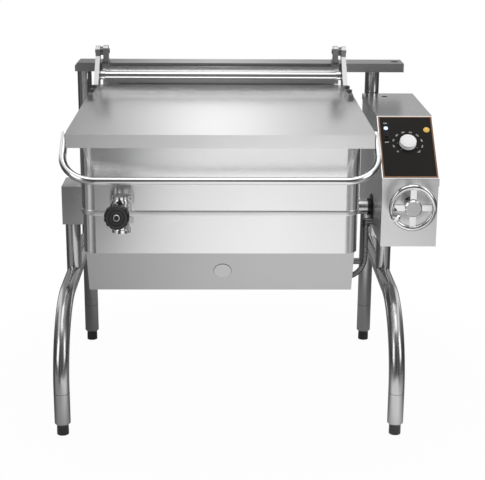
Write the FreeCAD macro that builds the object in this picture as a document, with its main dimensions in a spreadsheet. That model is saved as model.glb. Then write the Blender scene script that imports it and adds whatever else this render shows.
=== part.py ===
# Bratt pan on a tubular stand: a tilting pan with a hinged cover, a worm drive with a handwheel,
# a control console and a draw-off valve. Lengths are in millimetres.
#
# The sizes are measured from a working origin on the floor, between the front legs: +X to the right
# seen from the front, +Y to the back, +Z up. Each sub-part is then placed so that the finished part
# has its origin at the bottom centre of its own box.

import FreeCAD, Part
import Sketcher
import math
import os
import re

os.makedirs("parts", exist_ok=True)

document = FreeCAD.newDocument("bratt_pan")
sizes = document.addObject("Spreadsheet::Sheet", "sizes")

# Driving dimensions: the alias, the value and what it is.
SIZES = (
    ("leg_tube", 50.8, "outside diameter of the stand's tube"),
    ("leg_wall", 2, "wall of the stand's tube"),
    ("leg_span", 1058, "between the centres of the front legs"),
    ("rear_narrowing", 18, "how much closer the rear legs stand than the front ones"),
    ("leg_depth", 850, "from the front legs' centres to the rear legs' centres"),
    ("rail_height", 400, "centre of the side rail above the floor"),
    ("rail_bend", 254, "centre-line radius of the bend from front leg to side rail"),
    ("insert_top", 140, "height of the joint between leg and adjustable insert"),
    ("insert_bottom", 32, "underside of the adjustable inserts"),
    ("insert_chamfer", 6, "chamfer round the bottom of an insert"),
    ("spigot_length", 6, "how far an insert reaches into its leg"),
    ("foot_radius", 19, "foot pad"),
    ("foot_neck", 18.6, "radius of the foot where it meets the insert"),
    ("foot_rim", 12, "straight part of the foot pad"),
    ("stem_radius", 10, "threaded stem of a foot"),
    ("stem_length", 62, "stem of a foot above its pad"),
    ("foot_travel", 25, "how far a foot screws out"),
    ("upright_depth", 440, "tilt axis and uprights behind the front legs"),
    ("cross_tube", 24, "outside diameter of the rear cross tube"),
    ("cross_height", 311, "centre of the rear cross tube"),
    ("beam_reach", 101, "rear beam beyond the right front leg's centre"),
    ("beam_end_gap", 3, "room between a rear leg and the closed left end of the beam"),
    ("beam_wall", 2.5, "sheet of the rear beam"),
    ("beam_depth", 76, "back of the rear beam behind the rear legs' centres"),
    ("beam_rise", 399, "underside of the rear beam above the tilt axis"),
    ("beam_height", 31, "rear beam"),
    ("beam_chamfer", 10, "cut corner at the left end of the rear beam"),
    ("faucet_margin", 27, "faucet hole from the beam's right end"),
    ("faucet_step", 25, "faucet hole behind the rear legs' centres"),
    ("faucet_radius", 14.3, "faucet hole"),
    ("tilt_height", 632, "tilt axis above the floor"),
    ("trunnion_radius", 25, "trunnion shafts"),
    ("running_gap", 0.05, "radial clearance of a shaft in its bore"),
    ("moving_gap", 0.3, "clearance between faces that move past each other"),
    ("housing_margin", 27, "outer face of the left bearing housing beyond the leg's centre"),
    ("housing_width", 96, "left bearing housing across"),
    ("housing_depth", 132, "left bearing housing from front to back"),
    ("housing_drop", 46, "from the tilt axis down to the left upright's top"),
    ("housing_height", 130, "left bearing housing"),
    ("housing_wall", 3, "sheet of the left bearing housing"),
    ("block_radius", 38, "round head of a bearing block"),
    ("block_width", 44, "bearing block along the shaft"),
    ("block_base", 8, "base plate of a bearing block"),
    ("block_foot", 110, "base plate of a bearing block from front to back"),
    ("console_margin", 47, "inner side of the console inside the right front leg's centre"),
    ("console_width", 182, "console across"),
    ("console_ahead", 262, "front wall of the console in front of the tilt axis"),
    ("console_behind", 375, "back of the console behind the tilt axis"),
    ("floor_drop", 63, "from the tilt axis down to the console's underside"),
    ("console_rise", 324, "top of the console above the tilt axis"),
    ("slope_rise", 161, "lower edge of the sloped panel above the tilt axis"),
    ("slope_run", 195, "sloped panel from front to back"),
    ("console_sheet", 2, "sheet of the console"),
    ("console_lip", 20, "how far the console's cover laps its sides"),
    ("shaft_hole", 42, "radius of the opening for the trunnion in the console"),
    ("seal_lap", 2, "how far the shaft seal covers the console round the opening"),
    ("seal_lip", 2, "thickness of the shaft seal's disc"),
    ("seal_hub", 29, "radius of the shaft seal's sleeve"),
    ("seal_length", 13, "shaft seal along the shaft"),
    ("entry_margin", 72, "cable entry hole from the console's inner side"),
    ("entry_step", 68, "cable entry hole from the console's back"),
    ("entry_radius", 11.1, "cable entry hole"),
    ("bracket_height", 34, "bracket under the console"),
    ("bracket_depth", 46, "bracket under the console from front to back"),
    ("panel_margin", 3, "from the edge of the slope to the control panel's border"),
    ("panel_border", 5, "visible border round the control panel"),
    ("panel_sheet", 1.2, "border sheet and panel sheet"),
    ("dial_across", 92, "dial from the console's inner side"),
    ("dial_up", 138, "dial from the lower edge of the slope"),
    ("dial_radius", 27, "skirt of the dial"),
    ("dial_grip", 19, "grip of the dial"),
    ("dial_height", 20, "dial above the panel"),
    ("dial_shaft", 4, "shaft of the thermostat"),
    ("thermostat_size", 52, "thermostat case"),
    ("switch_across", 25, "switch from the console's inner side"),
    ("switch_up", 181, "switch from the lower edge of the slope"),
    ("switch_width", 20, "bezel of the switch across"),
    ("switch_length", 56, "bezel of the switch along the slope"),
    ("rocker_tilt", 10, "rocker of the switch from level, in degrees"),
    ("lamp_across", 157, "signal lamp from the console's inner side"),
    ("lamp_up", 194, "signal lamp from the lower edge of the slope"),
    ("lamp_radius", 8, "lens of the signal lamp"),
    ("contactor_width", 80, "contactor across"),
    ("contactor_depth", 90, "contactor from front to back"),
    ("contactor_height", 85, "contactor"),
    ("gear_module", 4, "module of the worm gear"),
    ("gear_teeth", 31, "teeth of the whole circle that the worm gear's segment is cut from"),
    ("segment_teeth", 10, "teeth on the segment"),
    ("segment_front", 1, "teeth of the segment in front of the top one at rest"),
    ("gear_width", 16, "toothed rim of the segment along the shaft"),
    ("gear_hub", 40, "radius of the segment's hub"),
    ("gear_hub_width", 26, "hub of the segment along the shaft"),
    ("gear_thinning", 0.35, "taken off each flank of a gear tooth"),
    ("worm_pitch_radius", 21, "pitch radius of the worm"),
    ("worm_turns", 5, "turns of the worm's thread"),
    ("worm_body", 72, "length of the worm"),
    ("worm_shaft", 10, "radius of the worm's shaft"),
    ("frame_inside", 140, "inside of the worm's frame from front to back"),
    ("frame_wall", 14, "wall of the worm's frame"),
    ("frame_width", 46, "worm's frame across"),
    ("wheel_reach", 68, "middle of the handwheel's rim in front of the console"),
    ("wheel_radius", 75.5, "outer radius of the handwheel"),
    ("wheel_rim", 9, "radius of the handwheel's rim section"),
    ("wheel_hub", 27, "hub of the handwheel"),
    ("wheel_hub_length", 40, "hub of the handwheel along its shaft"),
    ("spoke_width", 19, "spoke of the handwheel across"),
    ("spoke_depth", 9, "spoke of the handwheel along the shaft"),
    ("crank_left", 58, "crank knob left of the handwheel's centre"),
    ("crank_down", 21, "crank knob below the handwheel's centre"),
    ("crank_radius", 14, "crank knob"),
    ("crank_length", 44, "crank knob along its pin"),
    ("crank_pin", 4, "pin of the crank knob"),
    ("bush_radius", 20, "flange of the handwheel's bush"),
    ("pan_centre", -28, "middle of the pan across"),
    ("pan_clearance", 232, "how much narrower the pan is than the stand's leg centres"),
    ("pan_front", -88, "front wall of the pan"),
    ("pan_rear_step", 90, "rear wall of the pan in front of the rear legs' centres"),
    ("pan_rise", 118, "underside of the pan's floor above the tilt axis"),
    ("pan_corner", 42, "upright corners of the pan, outside"),
    ("pan_wall", 3, "sheet of the pan"),
    ("rim_flange", 12, "rim of the pan, outward"),
    ("jacket_inset", 3, "step from the pan down to its lower casing"),
    ("jacket_height", 125, "lower casing of the pan"),
    ("jacket_wall", 2, "sheet of the lower casing and the heater box"),
    ("heat_plate", 16, "plate under the pan's floor"),
    ("heat_plate_inset", 12, "from the casing's outside to the heating plate"),
    ("element_radius", 5, "heating element"),
    ("element_pairs", 5, "heating elements"),
    ("element_spread", 50, "between the legs of one heating element"),
    ("element_margin", 110, "from the pan's front and rear to the heating elements"),
    ("box_inset", 12, "from the pan's side to the heater box"),
    ("box_height", 136, "heater box"),
    ("box_front_step", 13, "from the pan's front to the heater box at its top"),
    ("box_front_lean", 56, "how far the front of the heater box leans back"),
    ("box_rear_step", 15, "from the pan's rear to the heater box at its top"),
    ("box_rear_lean", 55, "how far the rear of the heater box leans forward"),
    ("box_flange", 3, "flange on top of the heater box"),
    ("plug_right", 6, "round plug in the heater box right of the pan's middle"),
    ("plug_rise", 70, "round plug above the heater box's underside"),
    ("plug_radius", 26, "round plug"),
    ("plug_spigot", 22, "hole for the round plug"),
    ("trunnion_flange", 60, "radius of the trunnions' flanges"),
    ("trunnion_plate", 8, "thickness of the trunnions' flanges"),
    ("channel_margin", 7.5, "rear hinge channel beyond the pan's side"),
    ("channel_gap", 32, "from the pan's rear to the hinge channel's front face"),
    ("channel_sheet", 4, "sheet of the hinge channel"),
    ("channel_rise", 130, "hinge channel above the pan's underside"),
    ("channel_height", 173, "rear hinge channel"),
    ("channel_lip", 24, "top flange of the hinge channel"),
    ("pivot_step", 8, "cover's hinge axis behind the channel's front face"),
    ("pivot_rise", 55, "cover's hinge axis above the hinge channel"),
    ("pivot_pin", 8, "hinge pins of the cover"),
    ("bracket_margin", 21.5, "inner face of a hinge bracket from the channel's end"),
    ("bracket_sheet", 18, "hinge bracket across"),
    ("bracket_half", 16, "half of a hinge bracket from front to back"),
    ("bracket_block", 28, "wide foot of a hinge bracket"),
    ("bracket_block_height", 29, "wide foot of a hinge bracket"),
    ("bracket_head", 19, "top of a hinge bracket above the axis"),
    ("pin_head", 9, "head of a hinge pin"),
    ("pin_head_height", 4, "height of a hinge pin's head"),
    ("cover_overhang", 37, "cover beyond the pan's side"),
    ("cover_front_reach", 34, "cover beyond the pan's front"),
    ("cover_rear_reach", 16, "cover beyond the pan's rear"),
    ("cover_rise", 242, "top of the cover above the pan's underside"),
    ("cover_sheet", 2.5, "sheet of the cover"),
    ("cover_flange", 39, "flange round the cover's front and sides, from its top"),
    ("cover_rest", 0.5, "room between the closed cover and the pan's rim"),
    ("arm_margin", 14, "middle of a cover arm from the cover's side"),
    ("arm_width", 16, "cover arm across"),
    ("arm_head", 17, "half of an arm's head round the hinge axis"),
    ("arm_reach", 110, "from the hinge axis to the front of an arm where it meets its foot"),
    ("arm_foot_length", 198, "foot of a cover arm in front of the arm"),
    ("arm_foot", 13, "thickness of an arm's foot"),
    ("bolt_margin", 58, "front bolt of a cover arm from the arm's front end"),
    ("bolt_pitch", 80, "between the bolts of a cover arm"),
    ("bolt_radius", 6, "bolts of the cover arms"),
    ("torque_radius", 13, "tube between the cover arms"),
    ("torque_wall", 2, "wall of the tube between the cover arms"),
    ("torque_step", 24, "tube between the cover arms in front of the hinge axis"),
    ("torque_rise", 34, "tube between the cover arms above the cover"),
    ("handle_radius", 11.1, "tube of the cover's handle"),
    ("handle_wall", 1.5, "wall of the handle's tube"),
    ("handle_reach", 43, "handle's long run in front of the cover"),
    ("handle_drop", 126, "handle's long run below the cover's top"),
    ("handle_root_step", 117, "ends of the handle's sides behind the cover's front"),
    ("handle_root_drop", 20, "ends of the handle's sides below the cover's top"),
    ("handle_bend", 100, "bends of the handle"),
    ("valve_margin", 115, "spindle of the draw-off valve from the pan's left side"),
    ("valve_rise", 16, "inlet of the draw-off valve above the pan's underside"),
    ("valve_pipe", 22, "inlet pipe of the valve"),
    ("valve_bore", 12.5, "inlet bore of the valve"),
    ("flange_radius", 27, "flange on the pan that carries the valve"),
    ("flange_length", 12, "that flange from front to back"),
    ("barrel_reach", 49, "axis of the valve's barrel in front of the pan"),
    ("barrel_shift", 9, "barrel of the valve to the right of its spindle"),
    ("barrel_radius", 26, "barrel of the valve"),
    ("barrel_bore", 19, "outlet of the valve"),
    ("outlet_depth", 40, "length of the valve's outlet"),
    ("barrel_collar", 10, "collar round the valve's outlet, and the one round its top"),
    ("chamber_radius", 16, "chamber of the valve over its outlet"),
    ("barrel_drop", 58, "outlet end of the valve below its inlet"),
    ("barrel_rise", 50, "top of the valve above its inlet"),
    ("boss_radius", 20, "boss of the valve's spindle"),
    ("boss_reach", 30, "front of the valve's boss from the barrel's axis"),
    ("knob_reach", 68, "front of the valve's knob from the barrel's axis"),
    ("knob_radius", 36.5, "valve's knob"),
    ("knob_depth", 33, "valve's knob from front to back"),
    ("knob_ribs", 14, "grooves round the valve's knob"),
    ("knob_groove", 4, "radius of those grooves"),
    ("spindle_radius", 8, "sleeve of the valve's knob"),
    ("plug_stem", 5, "stem of the valve's plug"),
    ("plug_travel", 18, "travel of the valve's plug"),
    ("hose_radius", 9.5, "flexible conduit"),
    ("conduit_sag", 72, "lowest point of the conduit below its inlet"),
    ("conduit_ahead", 40, "conduit's outlet in the console in front of the tilt axis"),
    ("conduit_rise", 23, "conduit's outlet above the console's underside"),
    ("conduit_reach", 20, "from the console's side to the conduit hanging beside it"),
    ("conduit_drop", 17, "from the outlet down to the mouth of its elbow"),
    ("inlet_margin", 45, "conduit's inlet in the heater box from the pan's side"),
    ("inlet_ahead", 98, "conduit's inlet in the heater box in front of the tilt axis"),
    ("inlet_drop", 14, "connector under the heater box"),
    ("fitting_radius", 12, "body of a conduit connector"),
    ("fitting_nut", 14.5, "nut of a conduit connector"),
)

# Places that follow from the driving dimensions: the alias, its formula and what it is.
DERIVED = (
    ("rear_span", "leg_span - rear_narrowing", "between the centres of the rear legs"),
    ("beam_right", "leg_span / 2 + beam_reach", "right end of the rear beam"),
    ("beam_rear", "leg_depth + beam_depth", "back of the rear beam"),
    ("beam_bottom", "tilt_height + beam_rise", "underside of the rear beam"),
    ("beam_top", "beam_bottom + beam_height", "top of the rear beam"),
    ("faucet_across", "beam_right - faucet_margin", "faucet hole to the right of the centre"),
    ("faucet_back", "leg_depth + faucet_step", "faucet hole behind the front legs"),
    ("housing_left", "leg_span / 2 + housing_margin", "outer face of the left bearing housing, left of the centre"),
    ("housing_base", "tilt_height - housing_drop", "top of the left upright"),
    ("console_left", "leg_span / 2 - console_margin", "inner side of the console, right of the centre"),
    ("console_front", "upright_depth - console_ahead", "front wall of the console"),
    ("console_rear", "upright_depth + console_behind", "back of the console"),
    ("console_floor", "tilt_height - floor_drop", "underside of the console, and top of the right upright"),
    ("console_top", "tilt_height + console_rise", "top of the console"),
    ("slope_low", "tilt_height + slope_rise", "lower edge of the sloped panel"),
    ("slope_back", "console_front + slope_run", "upper edge of the sloped panel behind the front legs"),
    ("entry_across", "console_left + entry_margin", "cable entry hole right of the centre"),
    ("entry_back", "console_rear - entry_step", "cable entry hole behind the front legs"),
    ("gear_across", "console_left + console_width / 2", "middle of the worm gear right of the centre"),
    ("wheel_front", "console_front - wheel_reach", "middle of the handwheel's rim behind the front legs"),
    ("pan_width", "leg_span - pan_clearance", "pan across, outside"),
    ("pan_rear", "leg_depth - pan_rear_step", "rear wall of the pan"),
    ("pan_bottom", "tilt_height + pan_rise", "underside of the pan's floor"),
    ("jacket_bottom", "pan_bottom - jacket_height", "underside of the lower casing"),
    ("box_bottom", "jacket_bottom - box_height", "underside of the heater box"),
    ("box_front_top", "pan_front + box_front_step", "front of the heater box at its top"),
    ("box_front_low", "box_front_top + box_front_lean", "front of the heater box at its bottom"),
    ("box_rear_top", "pan_rear - box_rear_step", "rear of the heater box at its top"),
    ("box_rear_low", "box_rear_top - box_rear_lean", "rear of the heater box at its bottom"),
    ("plug_height", "box_bottom + plug_rise", "round plug above the floor"),
    ("channel_half", "pan_width / 2 + channel_margin", "half of the rear hinge channel's length"),
    ("channel_web", "pan_rear + channel_gap", "front face of the hinge channel"),
    ("channel_bottom", "pan_bottom + channel_rise", "underside of the hinge channel"),
    ("channel_top", "channel_bottom + channel_height", "top of the hinge channel"),
    ("pivot_back", "channel_web + pivot_step", "cover's hinge axis behind the front legs"),
    ("pivot_height", "channel_top + pivot_rise", "cover's hinge axis above the floor"),
    ("bracket_inner", "channel_half - bracket_margin", "inner face of a hinge bracket from the pan's middle"),
    ("cover_half", "pan_width / 2 + cover_overhang", "half of the cover across"),
    ("cover_front", "pan_front - cover_front_reach", "front of the cover"),
    ("cover_rear", "pan_rear + cover_rear_reach", "rear edge of the cover"),
    ("cover_top", "pan_bottom + cover_rise", "top of the cover"),
    ("arm_centre", "cover_half - arm_margin", "middle of a cover arm from the pan's middle"),
    ("arm_front", "pivot_back - arm_reach", "front of an arm where it meets its foot"),
    ("arm_foot_front", "arm_front - arm_foot_length", "front end of an arm's foot"),
    ("bolt_front", "arm_foot_front + bolt_margin", "front bolt of a cover arm"),
    ("torque_back", "pivot_back - torque_step", "centre of that tube behind the front legs"),
    ("torque_height", "cover_top + torque_rise", "centre of that tube above the floor"),
    ("handle_front", "cover_front - handle_reach", "handle's long run, before the front legs"),
    ("handle_height", "cover_top - handle_drop", "handle's long run above the floor"),
    ("handle_root_back", "cover_front + handle_root_step", "where the handle's sides end"),
    ("handle_root_height", "cover_top - handle_root_drop", "height where the handle's sides end"),
    ("valve_height", "pan_bottom + valve_rise", "inlet of the draw-off valve"),
    ("barrel_front", "pan_front - barrel_reach", "axis of the valve's barrel"),
    ("barrel_bottom", "valve_height - barrel_drop", "outlet end of the valve"),
    ("barrel_top", "valve_height + barrel_rise", "top of the valve"),
    ("boss_front", "barrel_front - boss_reach", "front of the valve's boss"),
    ("knob_front", "barrel_front - knob_reach", "front of the valve's knob"),
    ("conduit_back", "upright_depth - conduit_ahead", "conduit's outlet in the console behind the front legs"),
    ("conduit_height", "console_floor + conduit_rise", "conduit's outlet in the console above the floor"),
    ("inlet_across", "pan_centre + pan_width / 2 - inlet_margin", "conduit's inlet in the heater box right of the centre"),
    ("inlet_back", "upright_depth - inlet_ahead", "conduit's inlet in the heater box behind the front legs"),
)

for row, (alias, content, note) in enumerate(SIZES + DERIVED, start=1):
    sizes.set("A%d" % row, note)
    sizes.set("B%d" % row, "=" + content if isinstance(content, str) else str(content))
    sizes.setAlias("B%d" % row, alias)
document.recompute()

ALIASES = {alias for alias, content, note in SIZES + DERIVED}
START = 10.0


def bind(item, target, formula):
    """Bind a property to a formula in the sheet's aliases."""
    text = re.sub(r"[a-z_]+", lambda word: "sizes." + word.group() if word.group() in ALIASES else word.group(),
                  formula)
    item.setExpression(target, text)


def size(alias):
    return float(sizes.get(alias))


# Derived places, as formulas in the sizes.
SHIFT_X = "(housing_left - console_left - console_width) / 2"
SHIFT_Y = "-(beam_rear + knob_front) / 2"
BEAM_FRONT = "(leg_depth - leg_tube / 2 - beam_wall)"
CONSOLE_RIGHT = "(console_left + console_width)"
SLOPE = "atan((console_top - slope_low) / (slope_back - console_front))"
WORM_HEIGHT = "(tilt_height + gear_module * gear_teeth / 2 + worm_pitch_radius)"
PAN_LEFT = "(pan_centre - pan_width / 2)"
PAN_RIGHT = "(pan_centre + pan_width / 2)"
RIM = "(cover_top - cover_sheet - cover_rest)"
BOX_LEAN = "atan((box_front_low - box_front_top) / (jacket_bottom - box_bottom))"
VALVE_ACROSS = "(pan_centre - pan_width / 2 + valve_margin)"
SIDES = (("left", "-1"), ("right", "1"))

nodes = []


def finish(item, label, across="0", back="0", up="0", turn=None):
    """Name a sub-part and place it; turn is a rotation about X in degrees."""
    item.Label = label
    bind(item, "Placement.Base.x", across + " + " + SHIFT_X)
    bind(item, "Placement.Base.y", back + " + " + SHIFT_Y)
    bind(item, "Placement.Base.z", up)
    if turn:
        item.Placement = FreeCAD.Placement(FreeCAD.Vector(), FreeCAD.Rotation(FreeCAD.Vector(1, 0, 0), START))
        bind(item, "Placement.Rotation.Angle", turn)
    nodes.append(item)
    return item


def new_body(name):
    return document.addObject("PartDesign::Body", name)


def sketch(body, role, at="0"):
    """A sketch on one of the body's origin planes, moved along the plane's axis to the given place."""
    drawing = body.newObject("Sketcher::SketchObject", body.Name + "_sketch")
    plane = next(item for item in body.Origin.OriginFeatures if item.Role == role)
    drawing.AttachmentSupport = (plane, [""])
    drawing.MapMode = "FlatFace"
    bind(drawing, "AttachmentOffset.Base.z", "-(" + at + ")" if role == "XZ_Plane" else at)
    return drawing


def fix(drawing, geometry, point, across, up, first=(START, START)):
    """Hold a point of the sketch at its place from the origin."""
    for kind, formula, number in (("DistanceX", across, first[0]), ("DistanceY", up, first[1])):
        index = drawing.addConstraint(Sketcher.Constraint(kind, -1, 1, geometry, point, float(number)))
        bind(drawing, "Constraints[%d]" % index, formula)


def outline(drawing, corners):
    """A closed polygon whose corners are pairs of formulas."""
    count = len(corners)
    first = drawing.GeometryCount
    ring = [FreeCAD.Vector(START * math.cos(2 * math.pi * step / count), START * math.sin(2 * math.pi * step / count), 0)
            for step in range(count)]
    drawing.addGeometry([Part.LineSegment(ring[step], ring[(step + 1) % count]) for step in range(count)])
    drawing.addConstraint([Sketcher.Constraint("Coincident", first + step, 2, first + (step + 1) % count, 1)
                           for step in range(count)])
    for step, (across, up) in enumerate(corners):
        fix(drawing, first + step, 1, across, up)
    return drawing


def rectangle(drawing, left, right, low, high):
    return outline(drawing, ((left, low), (right, low), (right, high), (left, high)))


def circle(drawing, radius, across="0", up="0"):
    index = drawing.addGeometry(Part.Circle(FreeCAD.Vector(), FreeCAD.Vector(0, 0, 1), START))
    limit = drawing.addConstraint(Sketcher.Constraint("Radius", index, START))
    bind(drawing, "Constraints[%d]" % limit, radius)
    fix(drawing, index, 3, across, up)
    return drawing


def on_xz(drawing):
    return any("XZ" in part.Role for part, names in drawing.AttachmentSupport)


def pad(body, drawing, length, middle=False):
    """Extrude towards the positive side of the sketch's axis, or to both sides of it."""
    made = body.newObject("PartDesign::Pad", body.Name + "_pad")
    made.Profile = drawing
    made.Midplane = middle
    made.Reversed = on_xz(drawing)
    bind(made, "Length", length)
    return made


def pocket(body, drawing, length=None):
    """Cut towards the positive side of the sketch's axis, or through everything."""
    made = body.newObject("PartDesign::Pocket", body.Name + "_pocket")
    made.Profile = drawing
    if length:
        made.Reversed = not on_xz(drawing)
        bind(made, "Length", length)
    else:
        made.Type = "ThroughAll"
        made.Midplane = True
    return made


def revolve(body, drawing, axis="V_Axis"):
    made = body.newObject("PartDesign::Revolution", body.Name + "_turned")
    made.Profile = drawing
    made.ReferenceAxis = (drawing, [axis])
    return made


def named(shape, kind, test):
    """Names of the edges or faces of a shape that pass a test."""
    items = shape.Edges if kind == "Edge" else shape.Faces
    return ["%s%d" % (kind, index) for index, item in enumerate(items, start=1) if test(item)]


def upright(edge):
    """Whether a straight edge stands along Z."""
    if len(edge.Vertexes) != 2:
        return False
    low, high = edge.Vertexes[0].Point, edge.Vertexes[1].Point
    return math.hypot(low.x - high.x, low.y - high.y) < 0.001


def normal(face):
    return face.normalAt(0, 0)


def soften(body, feature, radius, test, kind="PartDesign::Fillet"):
    """Round or bevel the edges of a feature that pass a test."""
    document.recompute()
    made = body.newObject(kind, body.Name + "_edge")
    made.Base = (feature, named(feature.Shape, "Edge", test))
    bind(made, "Radius" if kind == "PartDesign::Fillet" else "Size", radius)
    return made


def hollow(body, feature, wall, test):
    """Shell a feature inwards, open at the faces that pass a test."""
    document.recompute()
    made = body.newObject("PartDesign::Thickness", body.Name + "_shell")
    made.Base = (feature, named(feature.Shape, "Face", test))
    made.Reversed = True
    made.Join = "Intersection"
    bind(made, "Value", wall)
    return made


def path(drawing, stops):
    """An open run of straight lines and quarter bends. Each stop is two formulas and a start place;
    a fifth entry gives the radius of the bend that leads from it to the next stop, and its centre."""
    pieces = []
    for here, there in zip(stops, stops[1:]):
        begin = FreeCAD.Vector(here[2][0], here[2][1], 0)
        end = FreeCAD.Vector(there[2][0], there[2][1], 0)
        if len(here) > 3:
            middle = FreeCAD.Vector(here[4][0], here[4][1], 0)
            halfway = (begin + end) / 2 - middle
            crown = middle + halfway * (begin.sub(middle).Length / halfway.Length)
            anticlockwise = begin.sub(middle).cross(end.sub(middle)).z > 0
            low, high = (begin, end) if anticlockwise else (end, begin)
            index = drawing.addGeometry(Part.Arc(low, crown, high))
        else:
            index = drawing.addGeometry(Part.LineSegment(begin, end))
        geometry = drawing.Geometry[index]
        forward = geometry.StartPoint.sub(begin).Length < geometry.EndPoint.sub(begin).Length
        ends = (1, 2) if forward else (2, 1)
        pieces.append((index, ends, here))
    for (index, ends, here), (other, other_ends, there) in zip(pieces, pieces[1:]):
        drawing.addConstraint(Sketcher.Constraint("Coincident", index, ends[1], other, other_ends[0]))
    for index, ends, here in pieces:
        fix(drawing, index, ends[0], here[0], here[1], here[2])
        if len(here) > 3:
            limit = drawing.addConstraint(Sketcher.Constraint("Radius", index, here[3][1]))
            bind(drawing, "Constraints[%d]" % limit, here[3][0])
    fix(drawing, pieces[-1][0], pieces[-1][1][1], stops[-1][0], stops[-1][1], stops[-1][2])
    return drawing


def sweep(body, profile, spine):
    made = body.newObject("PartDesign::AdditivePipe", body.Name + "_swept")
    made.Profile = profile
    made.Spine = (spine, ["Edge%d" % number for number in range(1, spine.GeometryCount + 1)])
    return made


def ring(drawing, radius, wall, across="0", up="0"):
    circle(drawing, radius, across, up)
    circle(drawing, radius + " - " + wall, across, up)
    return drawing


def tube(body, role, at, length, radius, wall, across, up):
    return pad(body, ring(sketch(body, role, at), radius, wall, across, up), length)


def rod(body, role, at, length, radius, across="0", up="0"):
    return pad(body, circle(sketch(body, role, at), radius, across, up), length)


def bore(body, role, radius, across="0", up="0"):
    return pocket(body, circle(sketch(body, role), radius, across, up))


def cylinder(name, radius, height, place, axis="Z"):
    """A plain cylinder that starts at a place and runs along an axis, for booleans."""
    made = document.addObject("Part::Cylinder", name)
    bind(made, "Radius", radius)
    bind(made, "Height", height)
    turns = {"X": FreeCAD.Rotation(FreeCAD.Vector(0, 1, 0), 90),
             "Y": FreeCAD.Rotation(FreeCAD.Vector(1, 0, 0), -90),
             "Z": FreeCAD.Rotation()}
    made.Placement = FreeCAD.Placement(FreeCAD.Vector(), turns[axis])
    for letter, formula in zip("xyz", place):
        bind(made, "Placement.Base." + letter, formula)
    return made


def join(name, items):
    made = document.addObject("Part::MultiFuse", name)
    made.Shapes = items
    return made


def cut(name, base, tool):
    made = document.addObject("Part::Cut", name)
    made.Base = base
    made.Tool = tool
    return made


def group(name, items):
    made = document.addObject("Part::Compound", name)
    made.Links = items
    return made


# Stand

def rear_leg(side, sign):
    """A straight tube from its adjustable insert up into the rear beam."""
    body = new_body("rear_leg_" + side)
    tube(body, "XY_Plane", "insert_top", "beam_top - beam_wall - beam_chamfer - insert_top", "leg_tube / 2", "leg_wall",
         sign + " * rear_span / 2", "leg_depth")
    finish(body, "rear_leg_" + side)


def front_leg(side, sign):
    """A front leg that bends back into the side rail, whose end is coped round the rear leg."""
    body = new_body("front_leg_" + side)
    across = sign + " * leg_span / 2"
    profile = ring(sketch(body, "XY_Plane", "insert_top"), "leg_tube / 2", "leg_wall", across)
    spine = sketch(body, "YZ_Plane", across)
    bend, rail, low, back = size("rail_bend"), size("rail_height"), size("insert_top"), size("leg_depth")
    path(spine, (("0", "insert_top", (0, low)),
                 ("0", "rail_height - rail_bend", (0, rail - bend), ("rail_bend", bend), (bend, rail - bend)),
                 ("rail_bend", "rail_height", (bend, rail)),
                 ("leg_depth", "rail_height", (back, rail))))
    sweep(body, profile, spine)
    bore(body, "XY_Plane", "leg_tube / 2", sign + " * rear_span / 2", "leg_depth")
    finish(body, "front_leg_" + side)


def upright_post(side, sign, top):
    """A post on the side rail, coped over it, that carries the pan's bearing."""
    body = new_body("upright_" + side)
    across = sign + " * leg_span / 2"
    tube(body, "XY_Plane", "rail_height", top + " - rail_height", "leg_tube / 2", "leg_wall", across, "upright_depth")
    bore(body, "XZ_Plane", "leg_tube / 2", across, "rail_height")
    finish(body, "upright_" + side)


def rear_cross_tube():
    body = new_body("rear_cross_tube")
    tube(body, "YZ_Plane", "-rear_span / 2", "rear_span", "cross_tube / 2", "leg_wall", "leg_depth", "cross_height")
    bore(body, "XY_Plane", "leg_tube / 2", "-rear_span / 2", "leg_depth")
    bore(body, "XY_Plane", "leg_tube / 2", "rear_span / 2", "leg_depth")
    finish(body, "rear_cross_tube")


def rear_beam():
    """A folded beam, open below, over the rear legs; its right end carries a faucet hole."""
    body = new_body("rear_beam")
    left = "-(rear_span / 2 + leg_tube / 2 + beam_end_gap + beam_wall)"
    side = outline(sketch(body, "XZ_Plane", BEAM_FRONT),
                   ((left, "beam_bottom"), ("beam_right", "beam_bottom"), ("beam_right", "beam_top"),
                    (left + " + beam_chamfer", "beam_top"), (left, "beam_top - beam_chamfer")))
    block = pad(body, side, "beam_rear - " + BEAM_FRONT)
    hollow(body, block, "beam_wall", lambda face: normal(face).z < -0.9)
    bore(body, "XY_Plane", "faucet_radius", "faucet_across", "faucet_back")
    finish(body, "rear_beam")


def leg_places():
    """The four legs: their names and the places of their axes."""
    for side, sign in SIDES:
        yield "front_" + side, sign + " * leg_span / 2", "0"
        yield "rear_" + side, sign + " * rear_span / 2", "leg_depth"


def leg_inserts():
    """Adjustable inserts: a spigot in the leg, a collar as wide as the leg and a threaded bore."""
    made = []
    for name, across, back in leg_places():
        body = new_body("insert_" + name)
        collar = rod(body, "XY_Plane", "insert_bottom", "insert_top - insert_bottom", "leg_tube / 2", across, back)
        soften(body, collar, "insert_chamfer",
               lambda edge: len(edge.Vertexes) == 1 and edge.BoundBox.ZMax < size("insert_bottom") + 1,
               "PartDesign::Chamfer")
        rod(body, "XY_Plane", "insert_top", "spigot_length", "leg_tube / 2 - leg_wall", across, back)
        bore(body, "XY_Plane", "stem_radius + moving_gap", across, back)
        made.append(body)
    finish(group("inserts", made), "leg_inserts")


def foot(name, across, back):
    """A screw foot: a pad that narrows to its neck, and a stem in the insert."""
    body = new_body("foot_" + name)
    top = "insert_bottom - moving_gap"
    turned = outline(sketch(body, "XZ_Plane"),
                     (("0", "0"), ("foot_radius", "0"), ("foot_radius", "foot_rim"), ("foot_neck", top),
                      ("stem_radius", top), ("stem_radius", "insert_bottom + stem_length"),
                      ("0", "insert_bottom + stem_length")))
    revolve(body, turned)
    finish(body, "foot_" + name, across, back)


# Bearings

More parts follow.
